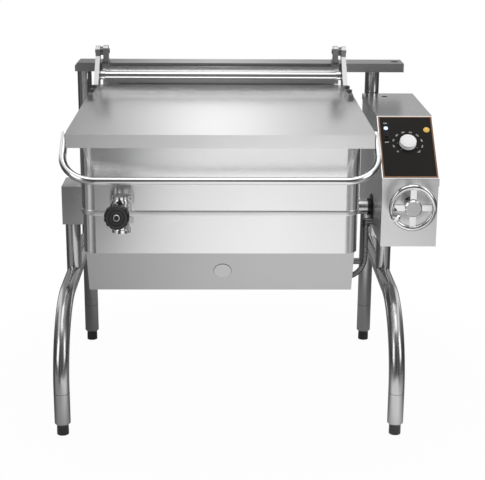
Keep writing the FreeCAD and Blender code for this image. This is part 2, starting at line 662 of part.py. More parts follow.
def bearing_block(label, start, width, floor, base_left, base_right, foot_depth):
    """A bearing block: a round head on straight cheeks and a base plate, bored for a trunnion."""
    body = new_body(label)
    half = "(" + foot_depth + ") / 2"
    base = rectangle(sketch(body, "YZ_Plane", base_left), "upright_depth - " + half, "upright_depth + " + half,
                     floor, floor + " + block_base")
    pad(body, base, base_right + " - (" + base_left + ")")
    cheeks = rectangle(sketch(body, "YZ_Plane", start), "upright_depth - block_radius", "upright_depth + block_radius",
                       floor + " + block_base / 2", "tilt_height")
    pad(body, cheeks, width)
    rod(body, "YZ_Plane", start, width, "block_radius", "upright_depth", "tilt_height")
    bore(body, "YZ_Plane", "trunnion_radius + running_gap", "upright_depth", "tilt_height")
    finish(body, label)


def bearing_housing():
    """The sheet housing over the left bearing, open below and bored for the trunnion."""
    body = new_body("bearing_housing")
    half = "housing_depth / 2"
    side = rectangle(sketch(body, "YZ_Plane", "-housing_left"), "upright_depth - " + half, "upright_depth + " + half,
                     "housing_base", "housing_base + housing_height")
    block = pad(body, side, "housing_width")
    hollow(body, block, "housing_wall", lambda face: normal(face).z < -0.9)
    hole = circle(sketch(body, "YZ_Plane", "-housing_left + housing_width - 2 * housing_wall"),
                  "trunnion_radius + 2", "upright_depth", "tilt_height")
    pocket(body, hole, "3 * housing_wall")
    finish(body, "bearing_housing_left")


# Console

def console_outline(drawing, drop, rear):
    """Side view of the console, with its top and slope lowered by a sheet's thickness."""
    knee = "slope_back + (" + drop + ") * tan(" + SLOPE + " / 2)"
    return outline(drawing, (("console_front", "console_floor"), (rear, "console_floor"),
                             (rear, "console_top - " + drop), (knee, "console_top - " + drop),
                             ("console_front", "slope_low - (" + drop + ") / cos(" + SLOPE + ")")))


def console_body():
    """The tub of the console: floor and four walls, open under its cover."""
    body = new_body("console_body")
    inside = "console_left + console_sheet"
    side = console_outline(sketch(body, "YZ_Plane", inside), "console_sheet", "console_rear - console_sheet")
    block = pad(body, side, "console_width - 2 * console_sheet")
    hollow(body, block, "console_sheet", lambda face: normal(face).z > 0.5)
    shaft = circle(sketch(body, "YZ_Plane", "console_left"), "shaft_hole", "upright_depth", "tilt_height")
    pocket(body, shaft, "3 * console_sheet")
    conduit = circle(sketch(body, "YZ_Plane", "console_left"), "fitting_radius", "conduit_back", "conduit_height")
    pocket(body, conduit, "3 * console_sheet")
    wheel = circle(sketch(body, "XZ_Plane", "console_front - console_sheet"), "worm_shaft + 4", "gear_across",
                   WORM_HEIGHT)
    pocket(body, wheel, "3 * console_sheet")
    finish(body, "console_body")


def on_slope(item):
    """Lay an item that was made in the slope's frame onto the console."""
    item.Placement = FreeCAD.Placement(FreeCAD.Vector(), FreeCAD.Rotation(FreeCAD.Vector(1, 0, 0), START))
    bind(item, "Placement.Base.x", "console_left")
    bind(item, "Placement.Base.y", "console_front")
    bind(item, "Placement.Base.z", "slope_low")
    bind(item, "Placement.Rotation.Angle", SLOPE)
    return item


def slope_tools(name):
    """Solids in the slope's frame that pierce its sheets for dial, switch and lamp."""
    depth = "4 * console_sheet"
    low = "-2 * console_sheet"
    dial = cylinder(name + "_dial", "dial_shaft + 1", depth, ("dial_across", "dial_up", low))
    lamp = cylinder(name + "_lamp", "lamp_radius", depth, ("lamp_across", "lamp_up", low))
    switch = document.addObject("Part::Box", name + "_switch")
    bind(switch, "Length", "switch_width - 2 * console_sheet")
    bind(switch, "Width", "switch_length - 2 * console_sheet")
    bind(switch, "Height", depth)
    bind(switch, "Placement.Base.x", "switch_across - switch_width / 2 + console_sheet")
    bind(switch, "Placement.Base.y", "switch_up - switch_length / 2 + console_sheet")
    bind(switch, "Placement.Base.z", low)
    return join(name, [dial, lamp, switch])


def console_cover():
    """The folded cover of the console: top and slope in one sheet, with lips down the sides and back."""
    body = new_body("console_cover_sheet")
    lip = "console_lip"
    knee = "slope_back + console_lip * tan(" + SLOPE + " / 2)"
    side = outline(sketch(body, "YZ_Plane", "console_left"),
                   (("console_front", "slope_low"),
                    ("console_front", "slope_low - " + lip + " / cos(" + SLOPE + ")"), (knee, "console_top - " + lip),
                    ("console_rear", "console_top - " + lip), ("console_rear", "console_top"),
                    ("slope_back", "console_top")))
    block = pad(body, side, "console_width")
    hollow(body, block, "console_sheet", lambda face: normal(face).z < -0.5 or normal(face).y < -0.9)
    bore(body, "XY_Plane", "entry_radius", "entry_across", "entry_back")
    finish(cut("console_cover", body, on_slope(slope_tools("cover_holes"))), "console_cover")


def shaft_seal():
    """The rubber seal round the right trunnion that closes the opening in the console's side."""
    body = new_body("shaft_seal")
    rod(body, "YZ_Plane", "console_left - seal_lip", "seal_lip", "shaft_hole + seal_lap", "upright_depth",
        "tilt_height")
    rod(body, "YZ_Plane", "console_left - seal_length", "seal_length", "seal_hub", "upright_depth", "tilt_height")
    bore(body, "YZ_Plane", "trunnion_radius + moving_gap", "upright_depth", "tilt_height")
    finish(body, "shaft_seal")


def console_bracket():
    """A block between the right upright and the console's floor, coped round the upright."""
    body = new_body("console_bracket")
    half = "bracket_depth / 2"
    base = rectangle(sketch(body, "XY_Plane", "console_floor - bracket_height"), "console_left + console_sheet",
                     "leg_span / 2", "upright_depth - " + half, "upright_depth + " + half)
    pad(body, base, "bracket_height")
    bore(body, "XY_Plane", "leg_tube / 2", "leg_span / 2", "upright_depth")
    finish(body, "console_bracket")


def slope_sheet(name, margin, lift):
    """A sheet on the sloped panel, kept back from the slope's edges, with the openings of the controls."""
    body = new_body(name + "_sheet")
    length = "(slope_back - console_front) / cos(" + SLOPE + ")"
    sheet = rectangle(sketch(body, "XY_Plane", lift), margin, "console_width - (" + margin + ")", margin,
                      length + " - (" + margin + ")")
    pad(body, sheet, "panel_sheet")
    finish(cut(name, body, slope_tools(name + "_holes")), name, "console_left", "console_front", "slope_low", SLOPE)


def control_panel():
    slope_sheet("panel_border", "panel_margin", "0")
    slope_sheet("panel_plate", "panel_margin + panel_border", "panel_sheet")


FACE = "(2 * panel_sheet)"


def on_panel(body, label, across, up, tilt=""):
    """Place a piece whose own frame has its origin on the slope, at a place across it and up it."""
    angle = SLOPE + tilt
    finish(body, label, "console_left + " + across, "console_front + " + up + " * cos(" + SLOPE + ")",
           "slope_low + " + up + " * sin(" + SLOPE + ")", angle)


def thermostat():
    """The thermostat under the slope, with its shaft up through the panel."""
    body = new_body("thermostat")
    half = "thermostat_size / 2"
    case = rectangle(sketch(body, "XY_Plane", "-console_sheet - 0.7 * thermostat_size"), "-" + half, half,
                     "-" + half, half)
    pad(body, case, "0.7 * thermostat_size")
    rod(body, "XY_Plane", "-console_sheet - 1", "console_sheet + 1 + 0.7 * dial_height", "dial_shaft - running_gap")
    on_panel(body, "thermostat", "dial_across", "dial_up")


def dial_knob():
    """The dial: a bevelled skirt, a round grip and a groove for its pointer."""
    body = new_body("dial_knob")
    skirt = FACE + " + moving_gap"
    turned = outline(sketch(body, "XZ_Plane"),
                     (("dial_shaft", skirt), ("dial_radius", skirt), ("dial_radius", skirt + " + 3"),
                      ("dial_grip + 1", skirt + " + 6"), ("dial_grip", "dial_height - 1"),
                      ("dial_grip - 1", "dial_height"), ("0", "dial_height"), ("0", "0.8 * dial_height"),
                      ("dial_shaft", "0.8 * dial_height")))
    revolve(body, turned)
    groove = rectangle(sketch(body, "XY_Plane", "dial_height - 1"), "-0.8", "0.8", "0", "dial_grip + 2")
    pocket(body, groove, "2")
    on_panel(body, "dial_knob", "dial_across", "dial_up")


ROCKER_WIDTH = "(switch_width - 8)"
ROCKER_LENGTH = "(switch_length - 16)"


def switch_housing():
    """The switch's case behind the panel and its bezel in front, with a well for the rocker."""
    body = new_body("switch_housing")
    wide = "switch_width / 2"
    long = "switch_length / 2"
    case = rectangle(sketch(body, "XY_Plane", "-20"), "-" + wide + " + console_sheet", wide + " - console_sheet",
                     "-" + long + " + console_sheet", long + " - console_sheet")
    pad(body, case, "20 + " + FACE)
    bezel = rectangle(sketch(body, "XY_Plane", FACE), "-" + wide, wide, "-" + long, long)
    pad(body, bezel, "3")
    well = rectangle(sketch(body, "XY_Plane", "-8"), "-" + ROCKER_WIDTH + " / 2 - moving_gap",
                     ROCKER_WIDTH + " / 2 + moving_gap", "-" + ROCKER_LENGTH + " / 2 - 2", ROCKER_LENGTH + " / 2 + 2")
    pocket(body, well, "40")
    on_panel(body, "switch_housing", "switch_across", "switch_up")


def rocker_switch():
    """The rocker, made level about its own axis and laid over by its tilt, with a pin into its case."""
    body = new_body("rocker_switch")
    plate = rectangle(sketch(body, "YZ_Plane", "-" + ROCKER_WIDTH + " / 2"), "-" + ROCKER_LENGTH + " / 2",
                      ROCKER_LENGTH + " / 2", "-2", "3")
    pad(body, plate, ROCKER_WIDTH)
    finish(body, "rocker_switch", "console_left + switch_across",
           "console_front + switch_up * cos(" + SLOPE + ") - " + FACE + " * sin(" + SLOPE + ")",
           "slope_low + switch_up * sin(" + SLOPE + ") + " + FACE + " * cos(" + SLOPE + ")",
           SLOPE + " - rocker_tilt * 1 deg")


def signal_lamp():
    """The signal lamp: a domed lens on a bezel, and its holder behind the panel."""
    body = new_body("signal_lamp")
    turned = outline(sketch(body, "XZ_Plane"),
                     (("0", "-24"), ("lamp_radius", "-24"), ("lamp_radius", FACE), ("lamp_radius + 2", FACE),
                      ("lamp_radius + 2", FACE + " + 2"), ("lamp_radius", FACE + " + 3"),
                      ("0.7 * lamp_radius", FACE + " + 6"), ("0", FACE + " + 7")))
    revolve(body, turned)
    on_panel(body, "signal_lamp", "lamp_across", "lamp_up")


def contactor():
    """The contactor on the console's floor, with a row of terminal slots."""
    body = new_body("contactor")
    floor = "console_floor + console_sheet"
    left = CONSOLE_RIGHT + " - console_sheet - contactor_width - 20"
    front = "console_rear - console_sheet - contactor_depth - 20"
    base = rectangle(sketch(body, "XY_Plane", floor), left, left + " + contactor_width", front,
                     front + " + contactor_depth")
    pad(body, base, "contactor_height")
    slot = rectangle(sketch(body, "XZ_Plane", front), left + " + 8", left + " + contactor_width - 8",
                     floor + " + 0.7 * contactor_height", floor + " + contactor_height")
    pocket(body, slot, "14")
    finish(body, "contactor")


# Worm drive

PITCH_RADIUS = "(gear_module * gear_teeth / 2)"
WORM_LEAD = "(gear_module * pi)"


def worm_gear():
    """The worm gear on the right trunnion, toothed over the part of its rim that the tilt needs.
    It is drawn with a tooth on top, whose sides lean by the worm's lead, and then turned forwards."""
    body = new_body("worm_gear")
    root = "(" + PITCH_RADIUS + " - 1.25 * gear_module)"
    rod(body, "YZ_Plane", "-gear_width / 2", "gear_width", root)
    rod(body, "YZ_Plane", "-gear_hub_width / 2", "gear_hub_width", "gear_hub")
    bore(body, "YZ_Plane", "trunnion_radius")
    half = "(" + WORM_LEAD + " / 4 - gear_thinning)"
    tip = "(" + half + " - gear_module * tan(20))"
    foot = "(" + half + " + gear_module * tan(20))"
    outer = PITCH_RADIUS + " + gear_module"
    profile = outline(sketch(body, "YZ_Plane"),
                      (("-" + foot, root + " - 0.5"), (foot, root + " - 0.5"), (half, PITCH_RADIUS), (tip, outer),
                       ("-" + tip, outer), ("-" + half, PITCH_RADIUS)))
    tooth = pad(body, profile, "gear_width", middle=True)
    tooth.UseCustomVector = True
    tooth.Direction = FreeCAD.Vector(1, -size("gear_module") / (2 * size("worm_pitch_radius")), 0)
    document.recompute()
    row = body.newObject("PartDesign::PolarPattern", "gear_teeth_row")
    row.Originals = [tooth]
    row.Axis = (profile, ["N_Axis"])
    row.Reversed = True
    bind(row, "Angle", "360 / gear_teeth * (segment_teeth - 1)")
    bind(row, "Occurrences", "segment_teeth")
    body.Tip = row
    finish(body, "worm_gear", "gear_across", "upright_depth", "tilt_height", "segment_front * 360 / gear_teeth")


# The worm's thread starts here, so that a gap of the thread lies over the gear's top tooth.
WORM_START = "(upright_depth - 2.75 * " + WORM_LEAD + ")"


def along_worm(place):
    return "(" + place + ") - " + WORM_START


def worm():
    """The worm, its shaft to the handwheel and the collars that run against its frame."""
    body = new_body("worm")
    root = "(worm_pitch_radius - 1.125 * gear_module)"
    inside = "(frame_inside / 2 - moving_gap)"
    collar = "(worm_shaft + 5)"
    middle = "upright_depth"
    end = along_worm(middle + " + frame_inside / 2 + frame_wall + 6")
    turned = outline(sketch(body, "XZ_Plane"),
                     (("0", along_worm("wheel_front - 9")), ("worm_shaft", along_worm("wheel_front - 9")),
                      ("worm_shaft", along_worm(middle + " - " + inside)), (collar, along_worm(middle + " - " + inside)),
                      (collar, along_worm(middle + " - " + inside + " + 10")),
                      ("worm_shaft + 2", along_worm(middle + " - " + inside + " + 10")),
                      ("worm_shaft + 2", along_worm(middle + " - worm_body / 2")),
                      (root, along_worm(middle + " - worm_body / 2")), (root, along_worm(middle + " + worm_body / 2")),
                      ("worm_shaft + 2", along_worm(middle + " + worm_body / 2")),
                      ("worm_shaft + 2", along_worm(middle + " + " + inside + " - 10")),
                      (collar, along_worm(middle + " + " + inside + " - 10")),
                      (collar, along_worm(middle + " + " + inside)), ("worm_shaft", along_worm(middle + " + " + inside)),
                      ("worm_shaft", end), ("0", end)))
    revolve(body, turned)
    half = "(" + WORM_LEAD + " / 4 - 0.15)"
    tip = "(" + half + " - gear_module * tan(20))"
    foot = "(" + half + " + 1.125 * gear_module * tan(20))"
    outer = "worm_pitch_radius + gear_module"
    thread = outline(sketch(body, "XZ_Plane"),
                     ((root + " - 0.2", "-" + foot), (outer, "-" + tip), (outer, tip), (root + " - 0.2", foot)))
    helix = body.newObject("PartDesign::AdditiveHelix", "worm_thread")
    helix.Profile = thread
    helix.ReferenceAxis = (thread, ["V_Axis"])
    helix.Mode = 0
    bind(helix, "Pitch", WORM_LEAD)
    bind(helix, "Height", "worm_turns * " + WORM_LEAD)
    finish(body, "worm", "gear_across", WORM_START, WORM_HEIGHT, "-90")


def worm_frame():
    """The bridge over the worm gear that holds the worm's shaft at both ends."""
    body = new_body("worm_frame")
    floor = "console_floor + console_sheet"
    inner = "frame_inside / 2"
    outer = "(frame_inside / 2 + frame_wall)"
    roof = WORM_HEIGHT + " + worm_pitch_radius + gear_module + 3"
    side = outline(sketch(body, "YZ_Plane", "gear_across - frame_width / 2"),
                   (("upright_depth - " + outer, floor), ("upright_depth - " + inner, floor),
                    ("upright_depth - " + inner, roof), ("upright_depth + " + inner, roof),
                    ("upright_depth + " + inner, floor), ("upright_depth + " + outer, floor),
                    ("upright_depth + " + outer, roof + " + 8"), ("upright_depth - " + outer, roof + " + 8")))
    pad(body, side, "frame_width")
    bore(body, "XZ_Plane", "worm_shaft + running_gap", "gear_across", WORM_HEIGHT)
    finish(body, "worm_frame")


def handwheel_bush():
    """The flanged bush that guides the handwheel's shaft through the console's front wall."""
    body = new_body("handwheel_bush")
    rod(body, "XZ_Plane", "console_front - 6", "6", "bush_radius", "gear_across", WORM_HEIGHT)
    rod(body, "XZ_Plane", "console_front - 1", "13", "worm_shaft + 4", "gear_across", WORM_HEIGHT)
    bore(body, "XZ_Plane", "worm_shaft + running_gap", "gear_across", WORM_HEIGHT)
    finish(body, "handwheel_bush")


def handwheel():
    """The handwheel: a flat hub, four spokes, a round rim and the pin of its crank knob."""
    body = new_body("handwheel")
    back = "wheel_hub_length - 14"
    hub = outline(sketch(body, "YZ_Plane"),
                  (("-14", "0"), ("-14", "0.86 * wheel_hub"), ("-11", "wheel_hub"), ("-5", "wheel_hub"),
                   (back, "0.8 * wheel_hub"), (back, "worm_shaft"), ("-9", "worm_shaft"), ("-9", "0")))
    revolve(body, hub, "H_Axis")
    rim = "(wheel_radius - wheel_rim)"
    for reach, across in ((rim, "spoke_width / 2"), ("spoke_width / 2", rim)):
        bar = rectangle(sketch(body, "XZ_Plane", "-spoke_depth / 2"), "-" + reach, reach, "-" + across, across)
        pad(body, bar, "spoke_depth")
    revolve(body, circle(sketch(body, "YZ_Plane"), "wheel_rim", "0", rim), "H_Axis")
    rod(body, "XZ_Plane", "-wheel_rim - crank_length + 4", "wheel_rim + crank_length - 4", "crank_pin",
        "-crank_left", "-crank_down")
    bore_depth = circle(sketch(body, "XZ_Plane", "-9"), "worm_shaft")
    pocket(body, bore_depth, "wheel_hub_length")
    finish(body, "handwheel", "gear_across", "wheel_front", WORM_HEIGHT)


def crank_knob():
    """The knob that turns on the handwheel's pin."""
    body = new_body("crank_knob")
    near = "-(wheel_rim + moving_gap)"
    far = "-(wheel_rim + crank_length)"
    hole = "crank_pin + running_gap"
    turned = outline(sketch(body, "YZ_Plane"),
                     ((near, hole), (near, "0.6 * crank_radius"), (near + " - 8", "0.75 * crank_radius"),
                      (far + " + 12", "crank_radius"), (far + " + 4", "0.9 * crank_radius"),
                      (far, "0.45 * crank_radius"), (far, "0"), (far + " + 3", "0"), (far + " + 3", hole)))
    revolve(body, turned, "H_Axis")
    finish(body, "crank_knob", "gear_across - crank_left", "wheel_front", WORM_HEIGHT + " - crank_down")


# Pan

def corner_edges(half_across, half_back, inset):
    """A test for the upright edges at the corners of a box round the pan's middle."""
    middle_x = size("pan_centre")
    middle_y = (size("pan_front") + size("pan_rear")) / 2

    def test(edge):
        place = edge.CenterOfMass
        away = max(abs(abs(place.x - middle_x) - half_across - inset), abs(abs(place.y - middle_y) - half_back - inset))
        return upright(edge) and away < 0.01
    return test


def pan_box(body, low, high, inset):
    """A rounded box, concentric with the pan, whose walls lie inside the pan's outside by the inset."""
    base = rectangle(sketch(body, "XY_Plane", low), PAN_LEFT + " + " + inset, PAN_RIGHT + " - (" + inset + ")",
                     "pan_front + " + inset, "pan_rear - (" + inset + ")")
    return pad(body, base, high + " - (" + low + ")")


def rounded_block(name, low, high, inset):
    """A block with the pan's round corners, for shells and openings."""
    body = new_body(name)
    block = pan_box(body, low, high, inset)
    soften(body, block, "pan_corner - (" + inset + ")", upright)
    return body


def rounded_shell(name, low, high, inset, wall):
    """An open wall round the pan's outline."""
    return cut(name, rounded_block(name + "_outside", low, high, inset),
               rounded_block(name + "_inside", low + " - 1", high + " + 1", inset + " + " + wall))


def pan_vessel():
    """The pan: a deep-drawn vessel with round corners and an outward rim, pierced for the valve."""
    solid = join("vessel_solid", [rounded_block("vessel_outside", "pan_bottom", RIM, "0"),
                                  rounded_block("vessel_rim", RIM + " - pan_wall", RIM, "-rim_flange")])
    room = rounded_block("vessel_room", "pan_bottom + pan_wall", RIM + " + 1", "pan_wall")
    inlet = cylinder("vessel_inlet", "valve_bore", "3 * pan_wall", (VALVE_ACROSS, "pan_front - pan_wall", "valve_height"),
                     "Y")
    finish(cut("pan_vessel", solid, join("vessel_voids", [room, inlet])), "pan_vessel")


def pan_jacket():
    finish(rounded_shell("pan_jacket", "jacket_bottom", "pan_bottom", "jacket_inset", "jacket_wall"), "pan_jacket")


def heating_plate():
    finish(rounded_block("heating_plate", "pan_bottom - heat_plate", "pan_bottom", "heat_plate_inset"), "heating_plate")


def heating_elements():
    """Hairpin elements that lie against the heating plate."""
    made = []
    height = "pan_bottom - heat_plate - element_radius"
    front = "pan_front + element_margin"
    for number in range(int(size("element_pairs"))):
        across = "%s + pan_width * (%d + 0.5) / element_pairs" % (PAN_LEFT, number)
        name = "element_%d" % number
        legs = [cylinder(name + side, "element_radius", "pan_rear - pan_front - 2 * element_margin",
                         (across + " + %s * element_spread / 2" % sign, front, height), "Y") for side, sign in SIDES]
        bend = document.addObject("Part::Torus", name + "_bend")
        bind(bend, "Radius1", "element_spread / 2")
        bind(bend, "Radius2", "element_radius")
        bend.Angle3 = 180
        bend.Placement = FreeCAD.Placement(FreeCAD.Vector(), FreeCAD.Rotation(180, 0, 0))
        for letter, formula in zip("xyz", (across, front, height)):
            bind(bend, "Placement.Base." + letter, formula)
        made.append(join(name, legs + [bend]))
    finish(group("elements", made), "heating_elements")


BOX_LEFT = "(" + PAN_LEFT + " + box_inset)"
BOX_RIGHT = "(" + PAN_RIGHT + " - box_inset)"


PLUG_ACROSS = "pan_centre + plug_right"
PLUG_BACK = ("box_front_top + (jacket_bottom - plug_height) * (box_front_low - box_front_top)"
             " / (jacket_bottom - box_bottom)")


def heater_box():
    """The open box under the pan: leaning front and rear, a flange inside the casing, holes for plug and conduit."""
    body = new_body("heater_box_sheet")
    side = outline(sketch(body, "YZ_Plane", BOX_LEFT),
                   (("box_front_top", "jacket_bottom"), ("box_front_low", "box_bottom"),
                    ("box_rear_low", "box_bottom"), ("box_rear_top", "jacket_bottom")))
    block = pad(body, side, BOX_RIGHT + " - " + BOX_LEFT)
    hollow(body, block, "jacket_wall", lambda face: normal(face).z > 0.9)
    flange = rounded_block("heater_box_flange", "jacket_bottom", "jacket_bottom + box_flange",
                           "jacket_inset + jacket_wall")
    mouth = document.addObject("Part::Box", "heater_box_mouth")
    bind(mouth, "Length", BOX_RIGHT + " - " + BOX_LEFT + " - 2 * jacket_wall")
    bind(mouth, "Width", "box_rear_top - box_front_top - 3 * jacket_wall")
    bind(mouth, "Height", "3 * box_flange")
    bind(mouth, "Placement.Base.x", BOX_LEFT + " + jacket_wall")
    bind(mouth, "Placement.Base.y", "box_front_top + 1.5 * jacket_wall")
    bind(mouth, "Placement.Base.z", "jacket_bottom")
    depth = "3 * jacket_wall"
    hole = cylinder("plug_hole", "plug_spigot", "2 * " + depth,
                    (PLUG_ACROSS, PLUG_BACK + " + " + depth + " * cos(" + BOX_LEAN + ")",
                     "plug_height + " + depth + " * sin(" + BOX_LEAN + ")"), "Y")
    bind(hole, "Placement.Rotation.Angle", "90 deg + " + BOX_LEAN)
    hole.Placement.Rotation = FreeCAD.Rotation(FreeCAD.Vector(1, 0, 0), START)
    conduit = cylinder("conduit_hole", "fitting_radius", depth, ("inlet_across", "inlet_back", "box_bottom - 1"))
    solid = join("heater_box_solid", [body, flange])
    finish(cut("heater_box", solid, join("heater_box_voids", [mouth, hole, conduit])), "heater_box")


def box_plug():
    """The snap-in plug that closes the round hole in the heater box's front."""
    body = new_body("box_plug")
    rod(body, "XY_Plane", "0", "1.5", "plug_radius")
    rod(body, "XY_Plane", "-2 * jacket_wall", "2 * jacket_wall", "plug_spigot")
    finish(body, "box_plug", PLUG_ACROSS, PLUG_BACK, "plug_height", "90 deg + " + BOX_LEAN)


def trunnions():
    """The pan's two shafts, each on a round flange against the casing's side."""
    left = new_body("trunnion_left")
    side = PAN_LEFT + " + jacket_inset"
    end = "-(housing_left - housing_wall - 6)"
    rod(left, "YZ_Plane", side + " - trunnion_plate", "trunnion_plate", "trunnion_flange", "upright_depth",
        "tilt_height")
    rod(left, "YZ_Plane", end, side + " - (" + end + ")", "trunnion_radius", "upright_depth", "tilt_height")
    finish(left, "trunnion_left")
    right = new_body("trunnion_right")
    side = PAN_RIGHT + " - jacket_inset"
    end = "gear_across + frame_width / 2 + 4 + block_width / 2 + 2"
    rod(right, "YZ_Plane", side, "trunnion_plate", "trunnion_flange", "upright_depth", "tilt_height")
    rod(right, "YZ_Plane", side, end + " - (" + side + ")", "trunnion_radius", "upright_depth", "tilt_height")
    finish(right, "trunnion_right")


def hinge_channel():
    """The folded channel across the back of the pan that carries the cover's hinges."""
    body = new_body("hinge_channel")
    sheet = "channel_sheet"
    side = outline(sketch(body, "YZ_Plane", "pan_centre - channel_half"),
                   (("pan_rear", "channel_bottom"), ("channel_web + " + sheet, "channel_bottom"),
                    ("channel_web + " + sheet, "channel_top - " + sheet),
                    ("channel_web + channel_lip", "channel_top - " + sheet),
                    ("channel_web + channel_lip", "channel_top"), ("channel_web", "channel_top"),
                    ("channel_web", "channel_bottom + " + sheet), ("pan_rear", "channel_bottom + " + sheet)))
    pad(body, side, "2 * channel_half")
    finish(body, "hinge_channel")


def hinge_bracket(side, sign):
    """A hinge bracket: a wide foot on the channel that narrows to a plate round the hinge pin."""
    body = new_body("hinge_bracket_" + side)

    def across(place):
        return "pan_centre + " + sign + " * (" + place + ")"

    middle = "bracket_inner + bracket_sheet / 2"
    wide, thin = "bracket_block / 2", "bracket_sheet / 2"
    shoulder = "channel_top + bracket_block_height"
    top = "pivot_height + bracket_head"
    front = outline(sketch(body, "XZ_Plane", "pivot_back - bracket_half"),
                    ((across(middle + " - " + wide), "channel_top"), (across(middle + " + " + wide), "channel_top"),
                     (across(middle + " + " + wide), shoulder + " - 7"), (across(middle + " + " + thin), shoulder),
                     (across(middle + " + " + thin), top), (across(middle + " - " + thin), top),
                     (across(middle + " - " + thin), shoulder), (across(middle + " - " + wide), shoulder + " - 7")))
    plate = pad(body, front, "2 * bracket_half")
    crown = size("pivot_height") + size("bracket_head")
    soften(body, plate, "bracket_half / 2",
           lambda edge: edge.BoundBox.ZMin > crown - 0.01 and edge.BoundBox.XLength > 1, "PartDesign::Chamfer")
    bore(body, "YZ_Plane", "pivot_pin", "pivot_back", "pivot_height")
    finish(body, "hinge_bracket_" + side)


def hinge_pins():
    """A headed pin on each side, from its bracket through the cover's arm."""
    made = []
    for side, sign in SIDES:
        body = new_body("hinge_pin_" + side)
        end = "arm_centre + arm_width / 2 + 2"
        for reach, start, radius in ((end, "bracket_inner", "pivot_pin"), ("bracket_inner", "bracket_inner - pin_head_height", "pin_head")):
            low = "pan_centre + " + sign + " * (" + reach + " + " + start + ") / 2 - (" + reach + " - (" + start + ")) / 2"
            rod(body, "YZ_Plane", low, reach + " - (" + start + ")", radius, "pivot_back", "pivot_height")
        made.append(body)
    finish(group("pins", made), "hinge_pins")


# Cover

def cover_shell():
    """The cover: one sheet with a flange down its front and both sides, open at the back."""
    body = new_body("cover_shell")
    base = rectangle(sketch(body, "XY_Plane", "cover_top - cover_flange"), "pan_centre - cover_half",
                     "pan_centre + cover_half", "cover_front", "cover_rear")
    block = pad(body, base, "cover_flange")
    front = size("cover_front")
    block = soften(body, block, "2 * cover_sheet",
                   lambda edge: upright(edge) and edge.BoundBox.YMax < front + 0.01)
    hollow(body, block, "cover_sheet", lambda face: normal(face).z < -0.9 or normal(face).y > 0.9)
    finish(body, "cover_shell")


def cover_arm(side, sign):
    """An arm from the hinge down to a long foot on the cover."""
    body = new_body("cover_arm_" + side)
    head = "arm_head"
    shape = outline(sketch(body, "YZ_Plane", "pan_centre + " + sign + " * arm_centre - arm_width / 2"),
                    (("arm_foot_front", "cover_top"), ("torque_back", "cover_top"),
                     ("pivot_back + " + head, "pivot_height - " + head), ("pivot_back + " + head, "pivot_height + 7"),
                     ("pivot_back + 7", "pivot_height + " + head), ("pivot_back - 7", "pivot_height + " + head),
                     ("pivot_back - " + head, "pivot_height + 7"), ("pivot_back - " + head, "pivot_height - " + head),
                     ("arm_front", "cover_top + arm_foot"), ("arm_foot_front", "cover_top + arm_foot")))
    pad(body, shape, "arm_width")
    bore(body, "YZ_Plane", "pivot_pin + running_gap", "pivot_back", "pivot_height")
    finish(body, "cover_arm_" + side)


def arm_bolts():
    """Hex bolts through each arm's foot."""
    made = []
    for side, sign in SIDES:
        for number in range(2):
            body = new_body("arm_bolt_%s_%d" % (side, number))
            top = "cover_top + arm_foot"
            hexagon = [("1.6 * bolt_radius * cos(%d)" % turn, "1.6 * bolt_radius * sin(%d)" % turn)
                       for turn in range(0, 360, 60)]
            across = "(pan_centre + " + sign + " * arm_centre)"
            back = "(bolt_front + %d * bolt_pitch)" % number
            head = outline(sketch(body, "XY_Plane", top),
                           [(across + " + " + x, back + " + " + y) for x, y in hexagon])
            pad(body, head, "1.3 * bolt_radius")
            made.append(body)
    finish(group("bolts", made), "arm_bolts")


def torque_tube():
    body = new_body("torque_tube")
    half = "(arm_centre - arm_width / 2)"
    tube(body, "YZ_Plane", "pan_centre - " + half, "2 * " + half, "torque_radius", "torque_wall", "torque_back",
         "torque_height")
    finish(body, "torque_tube")


HANDLE_RISE = "atan((handle_root_height - handle_height) / (handle_root_back - handle_front))"


def cover_handle():
    """The bent tube handle, drawn flat and then tipped up to the cover's sides. Its ends are closed."""
    body = new_body("cover_handle")
    half = "(cover_half + handle_radius)"
    reach = "((handle_root_back - handle_front) / cos(" + HANDLE_RISE + "))"
    profile = ring(sketch(body, "XZ_Plane", reach), "handle_radius", "handle_wall", "-" + half)
    spine = sketch(body, "XY_Plane")
    bend = size("handle_bend")
    side = size("cover_half") + size("handle_radius")
    rise = math.hypot(size("handle_root_height") - size("handle_height"), size("handle_root_back") - size("handle_front"))
    path(spine, (("-" + half, reach, (-side, rise)),
                 ("-" + half, "handle_bend", (-side, bend), ("handle_bend", bend), (bend - side, bend)),
                 ("handle_bend - " + half, "0", (bend - side, 0)),
                 (half + " - handle_bend", "0", (side - bend, 0), ("handle_bend", bend), (side - bend, bend)),
                 (half, "handle_bend", (side, bend)),
                 (half, reach, (side, rise))))
    sweep(body, profile, spine)
    for end in ("-" + half, half):
        rod(body, "XZ_Plane", reach + " - 4", "4", "handle_radius", end)
    finish(body, "cover_handle", "pan_centre", "handle_front", "handle_height", HANDLE_RISE)


# Draw-off valve

BARREL_ACROSS = "(" + VALVE_ACROSS + " + barrel_shift)"


def valve_flange():
    """The round flange on the pan's front that the valve is screwed to."""
    solid = cylinder("flange_solid", "flange_radius", "flange_length",
                     (VALVE_ACROSS, "pan_front - flange_length", "valve_height"), "Y")
    way = cylinder("flange_way", "valve_bore", "3 * flange_length",
                   (VALVE_ACROSS, "pan_front - 2 * flange_length", "valve_height"), "Y")
    finish(cut("valve_flange", solid, way), "valve_flange")


